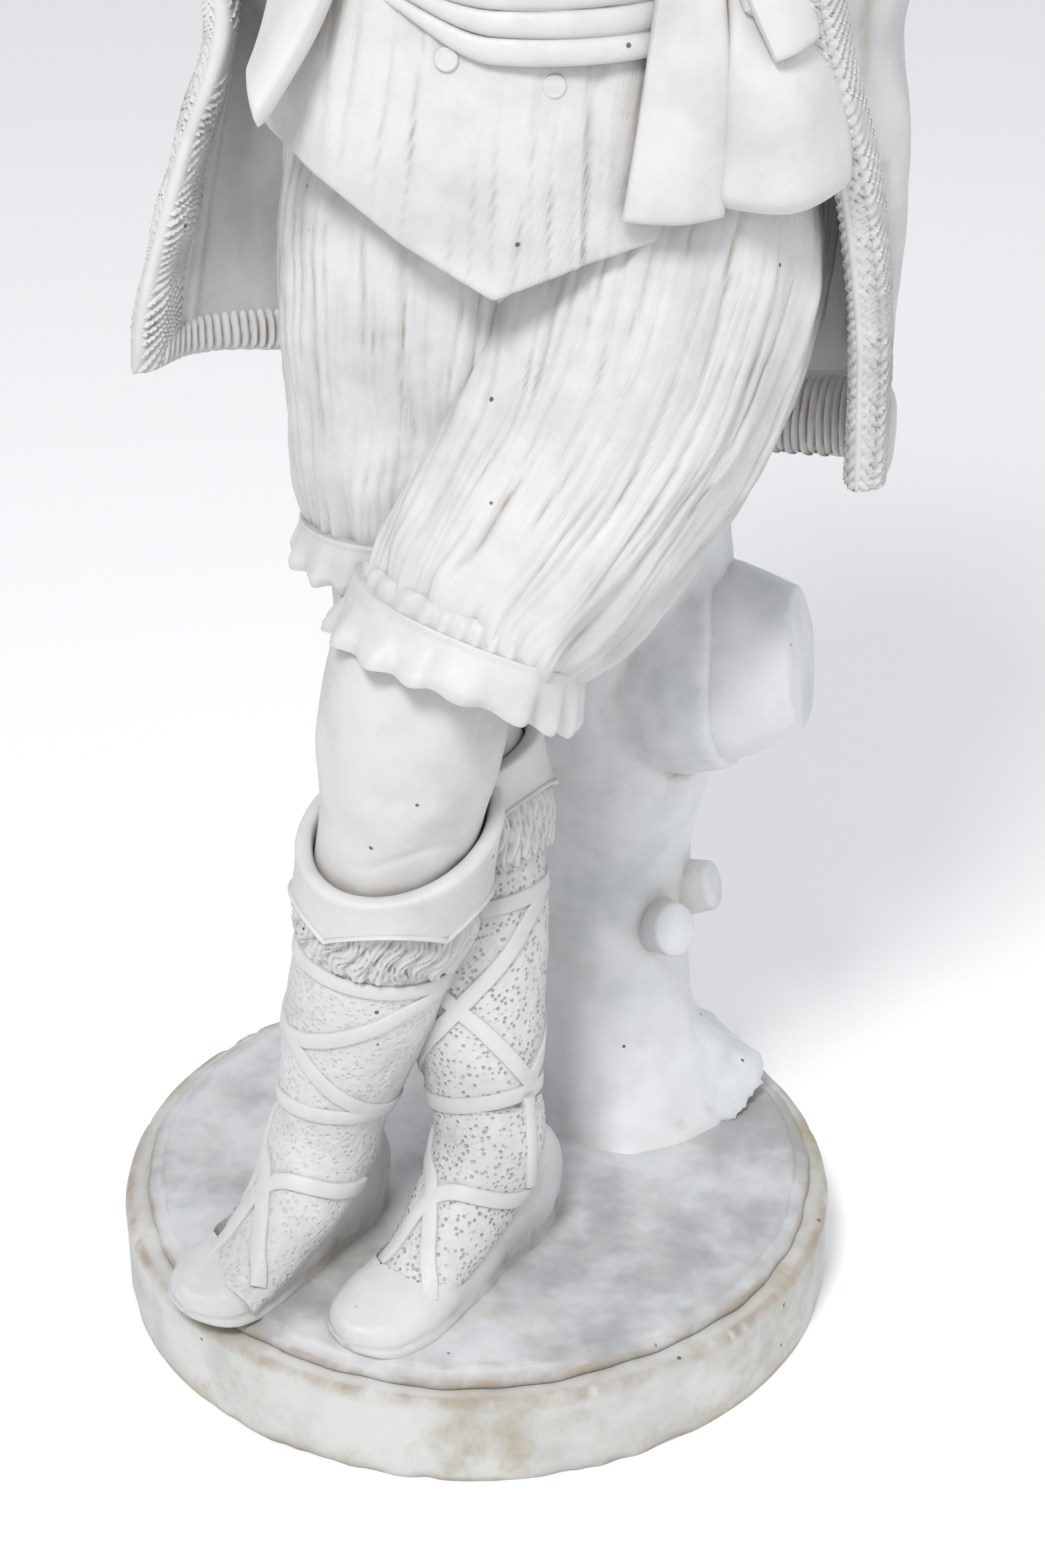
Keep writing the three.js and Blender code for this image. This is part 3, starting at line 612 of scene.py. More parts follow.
right_leg = Loft([
    [14, 6, 1000, 90, 88, 84],
    [6, 6, 950, 104, 96, 92],
    [-6, 8, 900, 106, 97, 98],
    [-18, 6, 850, 102, 97, 98],
    [-27, 0, 795, 96, 96, 94],
    [-31, -4, 740, 90, 92, 90],
    [-36, -10, 680, 82, 84, 84],
    [-40, -18, 636, 72, 76, 74],
    [-41, -20, 618, 66, 70, 68],
])
left_leg = Loft([
    [84, 8, 1000, 86, 88, 84],
    [96, 8, 950, 98, 102, 96],
    [108, 10, 905, 108, 106, 104],
    [117, 6, 860, 114, 106, 106],
    [112, -6, 800, 120, 108, 106],
    [96, -32, 730, 112, 104, 104],
    [64, -60, 672, 102, 98, 100],
    [30, -84, 622, 92, 90, 92],
    [8, -100, 590, 82, 84, 82],
    [0, -105, 576, 74, 78, 74],
])
hips = Loft([
    [47, 8, 1000, 118, 86, 84],
    [48, 6, 940, 140, 100, 98],
    [52, 4, 880, 150, 106, 108],
    [56, 4, 820, 120, 100, 110],
    [58, 6, 770, 90, 80, 100],
    [60, 8, 740, 60, 60, 80],
])
LEFT_FOLDS = [
    # centre in degrees, from t, to t, height, width, sway
    (-24, 2.5, 9, 3.6, 7, 0.06),
    (-8, 3.0, 9, 3.2, 6, 0.07),
    (8, 2.8, 9, 3.6, 7, 0.08),
    (24, 3.4, 8.8, 3.0, 6, 0.07),
    (38, 4.2, 8.6, 2.6, 6, 0.06),
    (53, 5.0, 8.6, 2.2, 6, 0.05),
    (150, 3.5, 8.4, 2.4, 9, 0.03),
]
RIGHT_FOLDS = [
    (62, 3.2, 7.2, 2.6, 8, 0.03),
    (84, 4.2, 8, 1.8, 7, 0.03),
    (120, 3.6, 7.6, 1.6, 8, 0.03),
    (150, 4.6, 8, 1.8, 6, 0.04),
    (172, 4.0, 8, 1.8, 6, 0.04),
]

flap_cloth = Cloth([
    [[-104, -56, 998], [-62, -92, 998], [-10, -108, 998], [40, -110, 998], [90, -104, 998], [124, -84, 998]],
    [[-116, -58, 940], [-74, -96, 930], [-14, -116, 925], [40, -120, 920], [96, -112, 925], [132, -92, 930]],
    [[-122, -62, 905], [-86, -98, 880], [-40, -112, 846], [17, -124, 813], [76, -116, 834],
     [124, -100, 845]],
], outward=-1, straight_hem=True)
BUTTONS = [(-8, 958), (54, 943)]
# From the cloth over the rim to the middle of a button: share of its radius, and height.
BUTTON_RINGS = [(1.0, 1), (1.0, 6.6), (0.93, 7.5), (0.84, 7.8), (0.74, 7.5), (0.64, 7.3), (0.3, 7.6),
                (0.05, 7.7)]
BUTTON_RADIUS = 7.4
FALL_SEAMS = [(-27, 0.13), (72, 0.02)]  # x at FALL_LEVEL and its change per millimetre of height
FALL_LEVEL = 925
STRIPE = 11.5  # distance between two stripes of the cloth


def flap_relief(u, v, points):
    """Stripes as shallow terraces, and the fall front between its two seams."""
    rng = np.random.default_rng(31)
    x, z = points[..., 0], points[..., 2]
    height = np.zeros(x.shape)
    for centre in np.arange(-128, 140, STRIPE):
        shift, pace, phase, weight, width = rng.uniform([-2.5, 22, 0, 0.35, 1.7], [2.5, 50, TAU, 1, 3.0])
        lean = 0.13 if centre < FALL_SEAMS[0][0] else 0.06
        path = centre + shift + 1.6 * np.sin(z / pace + phase) + lean * (z - FALL_LEVEL)
        fade = 0.6 + 0.4 * np.sin(z / 30 + 2 * phase)
        height += weight * fade * (1.5 * terrace(x - path, width, 1, 5) - 1.7 * bump(x - path, width))
    left, right = (x - start - lean * (z - FALL_LEVEL) for start, lean in FALL_SEAMS)
    height += 1.5 * smooth(left / 3 + 0.5) - 0.9 * bump(left, 1.3)
    height -= 3.0 * smooth(right / 2 + 0.5) * smooth((13 - right) / 3)
    height -= 1.5 * smooth((right - 10) / 3) + 0.8 * bump(right, 1.4)
    return height + 1.3 * ripple(points, 60, 5)


def button(x, z):
    """A flat button with a raised rim, on the flap."""
    u, v = np.meshgrid(np.linspace(0, flap_cloth.last_u, 160), np.linspace(0, flap_cloth.last_v, 80))
    at = flap_cloth.point(u, v)
    nearest = np.unravel_index(np.hypot(at[..., 0] - x, at[..., 2] - z).argmin(), u.shape)
    at, out = at[nearest], flap_cloth.normal(u, v)[nearest]
    across = unit(np.cross(out, [0, 0, 1]))
    up = np.cross(across, out)
    turn = round_angles(32)
    circle = BUTTON_RADIUS * (across * np.cos(turn)[:, None] + up * np.sin(turn)[:, None])
    return ring_form(np.array([at + circle * share + out * lift for share, lift in BUTTON_RINGS])[::-1])


breeches = [
    hips.form(7),
    breeches_leg(right_leg, 3, RIGHT_FOLDS, 6.4),
    breeches_leg(left_leg, 8, LEFT_FOLDS, 7.6),
    flap_cloth.whole(2.0, 3.2, 10, flap_relief, taper=3, lines=1.0),
    *[button(x, z) for x, z in BUTTONS],
]
carve("statue_breeches", breeches, figure_stone)

# ---------------------------------------------------------------- knee bands and frills

RIGHT_KNEE = dict(at=(-41, -20, 621), down=(-0.02, -0.1, -1), a=66, b=69)
LEFT_KNEE = dict(at=(0, -104, 580), down=(-0.42, -0.3, -1), a=75, b=78)
FRILL_THICKNESS = 6.0
FRILL_ROWS = 18  # rows of points down the outer face


def frill(waves, flare, drop, seed):
    """A ruffle that flares as it falls: outer face down, round the hem, inner face up."""
    rng = np.random.default_rng(seed)
    phases = rng.uniform(0, TAU, 4)

    def profile(angle):
        fall = np.concatenate([np.linspace(0, 1, FRILL_ROWS), np.linspace(1, 0, 12)])[:, None]
        inside = (np.arange(len(fall)) >= FRILL_ROWS)[:, None]
        beat = waves * angle + 0.9 * np.sin(2 * angle + phases[0]) + 0.7 * np.sin(5 * angle + phases[1])
        wave = np.cos(beat + 0.35 * np.cos(beat))[None] * (1 + 0.3 * np.sin(3 * angle + phases[2]))[None]
        round_hem = 2.4 * smooth((fall - 0.86) / 0.14)
        out = 5 + flare * fall**0.8 + 3.4 * wave * fall**1.2 - FRILL_THICKNESS * inside
        out = out - np.where(inside, -round_hem, round_hem)
        hem = 1.5 * np.sin(beat + 1.2)[None] + 2 * np.sin(3 * angle + phases[3])[None]
        up = 6 - (drop + hem) * fall - 1.5 * inside * fall
        bead = 2.2 * bump(fall - 0.03, 0.07) * ~inside
        return out + bead, up

    return profile


def knee_band(angle):
    """The gathered band over a frill."""
    loop = np.array([[-10, 22], [2, 22], [4.5, 19], [5, 12], [5, 4], [4.5, -4], [2, -8], [-10, -8]], float)
    out, up = loop[:, :1], loop[:, 1:]
    pucker = 1.3 * np.sin(34 * angle + 3 * np.sin(4 * angle))[None] * (out > 3)
    return out + pucker, up + 0 * pucker


frills = [
    hoop(profile=frill(15, 9, 30, 2), count=260, **RIGHT_KNEE),
    hoop(profile=frill(17, 10, 36, 4), count=290, **LEFT_KNEE),
    hoop(profile=knee_band, count=240, **LEFT_KNEE),
]
carve("statue_frills", frills, figure_stone)

# ---------------------------------------------------------------- calves and boots

right_calf = Loft([
    [-38, -20, 640, 58, 60, 58],
    [-38, -24, 570, 56, 60, 58],
    [-32, -28, 510, 54, 57, 52],
    [-14, -38, 436, 56, 50, 54],
    [-1, -56, 350, 54, 50, 58],
    [2, -74, 280, 50, 46, 52],
    [7, -94, 215, 41, 40, 42],
    [11, -104, 170, 38, 40, 38],
    [12, -106, 110, 35, 38, 36],
])
left_calf = Loft([
    [-16, -106, 610, 60, 62, 60],
    [-30, -110, 560, 62, 62, 62],
    [-40, -112, 505, 63, 63, 58],
    [-46, -106, 450, 56, 56, 54],
    [-56, -100, 385, 55, 52, 58],
    [-72, -96, 310, 56, 50, 58],
    [-90, -94, 245, 48, 45, 50],
    [-102, -94, 190, 39, 41, 42],
    [-106, -94, 110, 34, 40, 38],
])


def knee(level, turn):
    """Relief of a bare knee: the kneecap, the pads under it, the shin's head and the hollows beside."""

    def relief(t, angle, points):
        z = points[..., 2] - level
        a = wrap(angle - np.radians(turn))
        cap = 6.5 * bump(a, 0.62) * bump(z, 36) - 1.8 * bump(a, 0.5) * bump(z + 44, 10)
        pads = 2.6 * (bump(a - 0.42, 0.28) + bump(a + 0.42, 0.28)) * bump(z + 52, 18)
        shin = 2.8 * bump(a, 0.3) * bump(z + 78, 26)
        sides = -4.2 * (bump(a - 1.05, 0.35) + bump(a + 1.05, 0.35)) * bump(z + 18, 34)
        creases = -1.4 * bump(a + 0.2, 0.7) * bump(z + 96 + 10 * np.sin(3 * a), 4)
        return cap + pads + shin + sides + creases + 0.9 * ripple(points, 45, 12)

    return relief


STOCKING_RADIUS = 50  # the radius that the dents are laid out on
DENT_ACROSS, DENT_DOWN = 5.6, 5.2  # from dent to dent
JITTERED = 64  # dents along each side of the patch of random shifts


def pitted(loft, start, end, drilled=1.0):
    """The knitted stocking: dents all over, drilled by hand in wandering rows."""
    rng = np.random.default_rng(int(start * 10) + loft.last)

    def relief(t, angle, points):
        girth, drop = angle * STOCKING_RADIUS / DENT_ACROSS, loft.down(t) / DENT_DOWN
        girth, drop = np.broadcast_arrays(girth, drop)
        jitter = rng.uniform(-0.32, 0.32, (JITTERED, JITTERED, 2))
        best = np.full(girth.shape, 9.0)
        for di in (-1, 0, 1):
            for dj in (-1, 0, 1):
                i, j = np.floor(girth).astype(int) + di, np.floor(drop).astype(int) + dj
                shift = jitter[i % JITTERED, j % JITTERED]
                x, y = i + 0.5 + 0.5 * (j % 2) + shift[..., 0], j + 0.5 + shift[..., 1]
                best = np.minimum(best, np.hypot(girth - x, drop - y))
        dents = -0.9 * bump(best, 0.33)
        return dents + 0.6 * ripple(points, 20, 44)

    return loft.form(2.15, relief, start=start, end=end, pits=drilled)


CUFF_SCALLOPS = 5
# From inside the rim, over it and down to the hem's piping: share of the way down, and how far out.
CUFF_SECTION = np.array([
    [0.12, -7], [0.03, -5.5], [0, -4], [0, -1], [0.01, 2], [0.03, 4], [0.06, 5.2], [0.11, 5.6], [0.2, 5.2],
    [0.4, 4.6], [0.6, 4.4], [0.8, 4.8], [0.87, 5.2], [0.9, 5.2], [0.92, 6.4], [0.94, 7.2], [0.965, 7.4],
    [0.985, 6.8], [1, 5.2], [1, 2], [0.97, -6],
])
FLEECE_RADIUS = 58  # the radius that the locks of fleece are laid out on
FLEECE_TOP = 6  # how far over its ring the fleece starts
FLEECE_ROWS = 28


def cuff(turn, rim, hem, scallop):
    """A folded-down cuff: a thick rim above, and a scalloped hem with piping below.

    rim and hem give each edge's height on the ring: its mean, and how much it rises towards angle 0
    and towards the front.
    """

    def profile(angle):
        c, s = np.cos(angle)[None], np.sin(angle)[None]
        hang = 1 - np.abs(np.sin(CUFF_SCALLOPS / 2 * (angle - np.radians(turn))))[None] ** 0.8
        top = rim[0] + rim[1] * c + rim[2] * s
        low = hem[0] + hem[1] * c + hem[2] * s - scallop * hang
        share, out = CUFF_SECTION[:, :1], CUFF_SECTION[:, 1:]
        return out + 0 * top, top + (low - top) * share

    return profile


def fleece(drop, lock, strand, swirl, seed):
    """Fleece under the cuff: locks side by side, each of a few strands that swirl as they fall."""
    rng = np.random.default_rng(seed)
    phases = rng.uniform(0, TAU, 4)

    def profile(angle):
        fall = np.concatenate([np.linspace(0, 1, FLEECE_ROWS), [0.95, 0.5, 0]])[:, None]
        inside = (np.arange(len(fall)) >= FLEECE_ROWS)[:, None]
        girth = angle[None] * FLEECE_RADIUS
        bend = swirl * np.sin(TAU * 0.8 * fall + 0.7 * np.sin(girth / 29 + phases[0]))
        count = round(TAU * FLEECE_RADIUS / lock)
        turn = angle[None] / TAU * count + 0.35 * np.sin(3 * angle[None] + phases[1]) + bend / lock
        tuft = strands(turn, 0.6)
        fine = strands(turn * round(lock / strand) + 0.5 * np.sin(8 * fall + girth / 9 + phases[2]), 0.7)
        body = 2 + 6 * np.sin(np.pi * np.clip(fall, 0, 1) ** 0.8)
        out = body * (0.45 + 0.55 * tuft) + 2.4 * (fine - 0.3) * smooth(fall * 6)
        up = FLEECE_TOP - (drop - 5 + 6 * tuft + 2 * np.sin(5 * angle[None] + phases[3])) * fall
        return np.where(inside, -8, out), up + 0 * out

    return profile


def ring_at(loft, t, more):
    """The ring of a limb at station t, square to its axis and wider by more."""
    x, y, z, a, b = along(loft.stations, t)[:5]
    run = along(loft.stations, t + 0.3)[:3] - along(loft.stations, t - 0.3)[:3]
    return dict(at=(x, y, z), down=run, a=a + more, b=b + more)


def band(loft, t, rise, turn):
    """A strap straight round the leg at station t, higher by rise towards the turn."""
    angle = np.linspace(0, TAU, 97)
    return loft.strap(t - rise * np.cos(angle - np.radians(turn)), angle)


def lace(loft, path, width=12, height=1.9):
    """A strap through given places [station, angle in degrees] on the leg."""
    places = along(np.array(path, float), np.linspace(0, len(path) - 1, 12 * len(path)))
    return loft.strap(places[:, 0], np.radians(places[:, 1]), width, height)


# The straps that cross the calves: [station, angle in degrees] from place to place.
RIGHT_LACES = [
    [(3.9, 20), (4.1, 42), (4.35, 60), (4.73, 87), (5.14, 119), (5.52, 160), (5.8, 200), (6.0, 240)],
    [(3.9, 205), (4.25, 165), (4.6, 135), (5.08, 94), (5.39, 72), (5.75, 46), (6.0, 25)],
    [(4.3, -100), (4.8, -60), (5.3, -15), (5.6, 8), (5.85, 38)],
]
LEFT_LACES = [
    [(4.72, 10), (4.76, 35), (4.91, 61), (5.14, 83), (5.48, 116), (5.69, 148), (5.75, 185), (5.7, 230)],
    [(5.2, 235), (5.6, 200), (5.7, 170), (5.72, 152), (5.8, 136), (5.97, 115), (6.13, 96), (6.36, 60),
     (6.5, 20)],
]
ANKLE_STAY = [(6.0, 42), (6.4, 41), (6.8, 42), (7.25, 43)]
right_boot = [
    right_calf.form(4, knee(560, 95), end=3.5, around=120),
    pitted(right_calf, 3.5, 7.3),
    hoop(profile=cuff(70, (0, 8, -6), (-34, 2, 4), 9), count=200, **ring_at(right_calf, 2.78, 8)),
    hoop(profile=fleece(50, 10, 5.0, 2.5, 5), count=340, **ring_at(right_calf, 3.14, 2)),
    band(right_calf, 3.9, 0.03, 270),
    *[lace(right_calf, path) for path in RIGHT_LACES],
    band(right_calf, 6.0, 0.05, 0),
    lace(right_calf, ANKLE_STAY, 11, 5),
]
left_boot = [
    left_calf.form(3.4, knee(536, 96), end=4.0, around=130),
    pitted(left_calf, 4.0, 7.3, 0.45),
    hoop(profile=cuff(128, (-5, 22, -18), (-58, 11, 5), 14), count=220, **ring_at(left_calf, 3.1, 8)),
    hoop(profile=fleece(46, 16, 5.2, 7, 9), count=360, **ring_at(left_calf, 4.02, 2)),
    band(left_calf, 4.7, 0.05, 0),
    *[lace(left_calf, path) for path in LEFT_LACES],
    band(left_calf, 6.6, 0.15, 30),
]
carve("statue_boot_right", right_boot, figure_stone)
carve("statue_boot_left", left_boot, figure_stone)

# ---------------------------------------------------------------- shoes

# From toe to heel: share of the foot's length, half width, height, lift, and half the opening's width.
SHOE = [
    [1.0, 5, 15, 5, 0],
    [0.985, 15, 19, 3, 0],
    [0.955, 26, 22, 1, 0],
    [0.9, 35, 26, 0, 0],
    [0.8, 40, 31, 0, 0],
    [0.73, 40, 34, 0, 0],
    [0.66, 39, 39, 0, 21],
    [0.58, 37, 46, 0, 27],
    [0.46, 37, 66, 0, 31],
    [0.34, 39, 88, 0, 34],
    [0.22, 40, 104, 0, 35],
    [0.12, 38, 104, 0, 25],
    [0.05, 32, 90, 0, 0],
    [0.0, 25, 78, 0, 0],
    [-0.06, 18, 58, 0, 0],
    [-0.11, 6, 34, 0, 0],
]
THROAT = 0.735  # share of the foot's length at which the opening starts
SOLE = 6  # thickness of the sole
INSIDE = 10  # how far the shoe's inside lies under its outer surface


def shoe(heel, toe):
    """A slipper between two places on the ground, open over the instep, with a thin sole."""
    heel, toe = np.array([*heel, GROUND], float), np.array([*toe, GROUND], float)
    length = np.linalg.norm(toe - heel)
    ahead = (toe - heel) / length
    across = np.cross([0, 0, 1], ahead)
    spans = (0, 3, 21, False), (3, 6.5, 45, False), (6.5, len(SHOE) - 1, 44)
    t = np.concatenate([np.linspace(*span) for span in spans])[:, None]
    angle = BACK + round_angles(96)[None]
    share, width, height, lift, opening = np.moveaxis(along(SHOE, t), -1, 0)
    front = np.clip((THROAT - share) / 0.13, 0, 1)
    opening = np.where(share > 0.6, 30 * (1 - (1 - front) ** 3) ** (1 / 3), opening)
    s, c = np.sin(angle), np.cos(angle)
    rise = np.where(s > 0, height * np.abs(s) ** 0.8, SHOE_BURY * s) + lift
    out = width * np.sign(c) * np.abs(c) ** (0.7 - 0.38 * smooth((0.55 - share) / 0.2))
    out = out * (1 - 0.26 * smooth((0.5 - share) / 0.2) * (1 - smooth(rise / 45)))
    edge = np.where(opening > 0.5, opening - np.abs(out), -9)
    inside = smooth(edge / 2.0 + 0.5) * (s > 0)
    sole = 1.4 * smooth((SOLE - rise) / 1.2) - 0.9 * bump(rise - SOLE - 1.2, 1.2)
    rim = 1.1 * bump(edge + 2.6, 2.0) * (s > 0.2)
    level = rise + rim
    sunk = np.minimum(INSIDE + 50 * smooth((0.6 - share) / 0.2), np.maximum(level - INSIDE, 0))
    level = level - sunk * inside
    grid = (heel + ahead * (share * length)[..., None] + across * (out + sole * np.sign(c))[..., None]
            + np.array([0, 0, 1]) * level[..., None])
    # Dark lines of the hollow mark: painted shade, with dirt, along the throat's edge and in the groove
    # above the sole.
    throat_line = 0.9 * bump(edge - 0.6, 1.1) * (s > 0.1) * (opening > 1)
    sole_line = 0.7 * bump(rise - SOLE - 1, 1.0)
    return ring_form(grid[:, ::-1], hollow=np.maximum(throat_line, sole_line)[:, ::-1])


# Down the instep: how far forward of the ankle, how high over the ground, half width and depths.
INSTEP = [
    [-4, 134, 34, 35, 35],
    [0, 98, 40, 39, 38],
    [18, 65, 39, 38, 34],
    [46, 42, 36, 32, 30],
    [82, 21, 33, 21, 20],
    [112, 11, 32, 15, 14],
]
INSTEP_STRAPS = [
    [(0.9, 170), (1.6, 142), (2.3, 115), (3.1, 92), (3.9, 66), (4.5, 35)],
    [(4.5, 140), (3.9, 124), (3.1, 106), (2.6, 84), (2.3, 50), (2.0, 10), (1.8, -20)],
]


def foot_top(ankle, heel, toe):
    """The stockinged instep, from the ankle down into the shoe's opening."""
    ahead = unit(np.array([toe[0] - heel[0], toe[1] - heel[1], 0.0]))
    spine = [[ankle[0] + ahead[0] * forward, ankle[1] + ahead[1] * forward, GROUND + up, *section]
             for forward, up, *section in INSTEP]
    return Loft(spine, np.cross([0, 0, 1], ahead))


def laced_foot(ankle, heel, toe, drilled):
    """A foot in its slipper, with the stockinged instep and its straps."""
    top = foot_top(ankle, heel, toe)
    straps = [lace(top, path, 12, 2.4) for path in INSTEP_STRAPS]
    return [shoe(heel, toe), pitted(top, 0, top.last, drilled), *straps]


RIGHT_FOOT = dict(ankle=(12, -106), heel=(44, -62), toe=(-87, -228), drilled=1.0)
LEFT_FOOT = dict(ankle=(-106, -94), heel=(-83, -51), toe=(-203, -192), drilled=0.45)
carve("statue_shoes", laced_foot(**RIGHT_FOOT) + laced_foot(**LEFT_FOOT), figure_stone)

# ---------------------------------------------------------------- stump

trunk = Loft([
    [142, 66, 730, 50, 44, 50],
    [136, 84, 640, 52, 46, 50],
    [120, 94, 560, 66, 58, 54],
    [114, 98, 480, 84, 66, 58],
    [104, 100, 400, 76, 62, 58],
    [96, 102, 310, 68, 56, 56],
    [96, 104, 210, 68, 58, 58],
    [98, 106, 140, 78, 72, 64],
    [104, 108, 100, 96, 92, 78],
    [108, 110, 76, 122, 114, 96],
])
BRANCH_OVAL = 0.8  # depth of a branch beside its height
BRANCH_SIDE = (0, 0.3, 1)


def branch(start, end, radii):
    """A straight branch of the given radii, evenly spaced from start to end."""
    shares = np.linspace(0, 1, len(radii))
    start, end = np.array(start, float), np.array(end, float)
    sizes = [(r, BRANCH_OVAL * r, BRANCH_OVAL * r) for r in radii]
    return Loft([[*(start + (end - start) * s), *size] for s, size in zip(shares, sizes)], BRANCH_SIDE)


def trunk_relief(t, angle, points):
    """The trunk's flats, and the swell of its roots."""
    foot = smooth((170 - points[..., 2]) / 90)
    roots = 7 * np.sin(5 * angle + 0.6) * foot
    planes = 3.2 * ripple(points * [1, 1, 0.35], 60, 17) + 1.2 * ripple(points, 26, 18)
    return roots + planes


def sawn(loft, start, inset):
    """A sawn stub that stands out of its collar of bark, with a softly broken edge round the cut."""

    def relief(t, angle, points):
        return -inset - 2.5 * smooth((t - loft.last + 0.06) / 0.06) + 0.2 * inset * ripple(points, 40, 3)

    return loft.form(2.5, relief, start=start)


great_branch = branch((110, 94, 462), (238, 54, 483), (70, 84, 76, 56))
knob = branch((124, 92, 242), (150, 34, 266), (25, 23, 21))
rear_knob = branch((124, 108, 256), (182, 84, 276), (28, 24, 19))


def collar(loft, end):
    """The bark that swells round the foot of a branch and stops short of its cut."""

    def relief(t, angle, points):
        past = t - end + 0.06 * np.sin(3 * angle + 1)
        return 1.5 * bump(past + 0.1, 0.12) - 14 * smooth(past / 0.08) + 1.5 * ripple(points, 50, 6)

    return loft.form(3, relief, end=end + 0.1)


collars = [collar(great_branch, 1.75), collar(knob, 0.8), collar(rear_knob, 0.7)]
bark = fused([trunk.form(4, trunk_relief), *collars], 4.7, 4)
bark.points += bark.normals * 0.5 * ripple(bark.points * [1, 1, 0.3], 15, 71)[:, None]
stump = [bark, sawn(great_branch, 1.2, 5), sawn(knob, 0.4, 0.5), sawn(rear_knob, 0.3, 0.5)]
carve("statue_stump", stump, stump_stone)

# ---------------------------------------------------------------- disc and plinth

DISC_RADIUS = 256
SEAT = PLINTH_HEIGHT + 0.3  # the disc's underside, over a thin joint


def round_slab(rings, count, relief, top_relief=None):
    """A round slab from rings [radius, z], the last of them near its middle, on top."""
    angle = round_angles(count)
    rings = np.array(rings, float)
    radius = rings[:, :1] + relief(angle[None], rings[:, 1:], rings[:, :1])
    z = np.broadcast_to(rings[:, 1:], radius.shape)
    x, y = radius * np.cos(angle), radius * np.sin(angle)
    if top_relief is not None:
        z = z + top_relief(x, y, radius)
    return ring_form(np.stack([x, y, z], -1)[:, ::-1])


def disc_edge(angle, z, radius):
    """The worked edge: uneven, with a low step here and there."""
    rim = smooth((radius - 225) / 20)
    wander = 1.6 * np.sin(3 * angle + 1) + 1.2 * np.sin(7 * angle)
    wander += 0.7 * np.sin(19 * angle + 2) + 0.5 * np.sin(41 * angle)
    return rim * (wander - 2.5)


def disc_top(x, y, radius):
    """The worked top, which dips and swells a little."""
    flat = np.stack([x, y, 0 * x], -1)
    inner = smooth((radius - 5) / 20) * smooth((250 - radius) / 10)
    return (0.6 * ripple(flat, 120, 9) + 0.3 * ripple(flat, 30, 10)) * inner


# Up the disc's edge: how far in from its rim, and how high over its seat.
EDGE_STEPS = [[1, 0], [0, 1], [0, 4.5], [1.2, 6.5], [3, 7.4], [9, 8.2], [10.5, 9.2], [11, 11]]
disc_rings = [[DISC_RADIUS - inward, SEAT + up] for inward, up in EDGE_STEPS]
disc_rings += [[DISC_RADIUS - 12.2, GROUND - 0.4], [DISC_RADIUS - 14, GROUND]]
disc_rings += [[r, GROUND] for r in np.linspace(DISC_RADIUS - 20, 6, 44)]
carve("statue_disc", [round_slab(disc_rings, 330, disc_edge, disc_top)], disc_stone)

chipping = np.random.default_rng(77)


def chips(count, narrow, wide, deep):
    """Chips here and there along an arris: the angle, half the width as an angle, and the depth."""
    ranges = (0, TAU), (narrow, wide), (0.6, deep)
    return list(zip(*[chipping.uniform(low, high, count) for low, high in ranges]))


TOP_CHIPS = chips(34, 0.008, 0.035, 3.2)
LOW_CHIPS = chips(40, 0.01, 0.05, 3.5)


def plinth_side(angle, z, radius):
    """Sawn side with a gentle waver, chipped along both arrises."""
    side = smooth((radius - 255) / 8)
    waver = 0.25 * np.sin(9 * angle + 0.04 * z) + 0.15 * np.sin(23 * angle - 0.06 * z) - 0.7
    for level, places in ((PLINTH_HEIGHT, TOP_CHIPS), (0, LOW_CHIPS)):
        for place, width, depth in places:
            waver = waver - depth * bump(wrap(angle - place), width) * bump(z - level, 5)
    return side * waver


PLINTH_RADIUS = PLINTH_WIDTH / 2
# Both worn arrises: how far in from the side, and how far above the underside or below the top.
LOW_ARRIS = [[3, 0], [0.8, 0.8], [0, 2.6], [0, 6]]
TOP_ARRIS = [[0, 7], [0.6, 4], [2, 1.6], [4.5, 0.3], [8, 0], [12, 0]]
plinth_rings = [[r, 0] for r in (6, 60, 130, 200, 250)]
plinth_rings += [[PLINTH_RADIUS - inward, up] for inward, up in LOW_ARRIS]
plinth_rings += [[PLINTH_RADIUS, z] for z in np.linspace(9, PLINTH_HEIGHT - 10, 16)]
plinth_rings += [[PLINTH_RADIUS - inward, PLINTH_HEIGHT - below] for inward, below in TOP_ARRIS]
plinth_rings += [[r, PLINTH_HEIGHT] for r in (240, 160, 80, 6)]
plinth = round_slab(plinth_rings, 480, plinth_side)
carve("plinth_slab", [plinth], plinth_stone, node="plinth")

# ---------------------------------------------------------------- sash, tails and jacket

SASH_ROWS = 42


def sash_profile(angle):
    """The sash: rounded folds wound round the waist, whose lower edge sags in front."""
    share = np.concatenate([np.linspace(0, 1, SASH_ROWS), [1, 0.97, 0.5, 0]])[:, None]
    inside = (np.arange(len(share)) >= SASH_ROWS + 1)[:, None]
    sag = -11 + 30 * smooth((-0.2 - np.cos(angle)) / 0.55)[None]
    up = 38 + (sag - 38) * share
    folds = 0.3 + 0.06 * np.sin(angle - 1)[None], 0.62 + 0.05 * np.sin(angle + 0.4)[None]
    edges = [0 * sag, *folds, 1 + 0 * sag]
    out = 1.0 + 5 * share
    for low, high in zip(edges, edges[1:]):
        place = np.clip((share - low) / (high - low), 0, 1)
        held = (share >= low) & (share <= high)
        out = out + 4.6 * np.sqrt(np.clip(1 - (2 * place - 1) ** 2, 0, 1)) * held
    return np.where(inside, -8, out), up + 0 * out


def soft(size, height, seed):
    """Gentle unevenness of the given size and height."""
    return lambda u, v, points: height * ripple(points, size, seed)


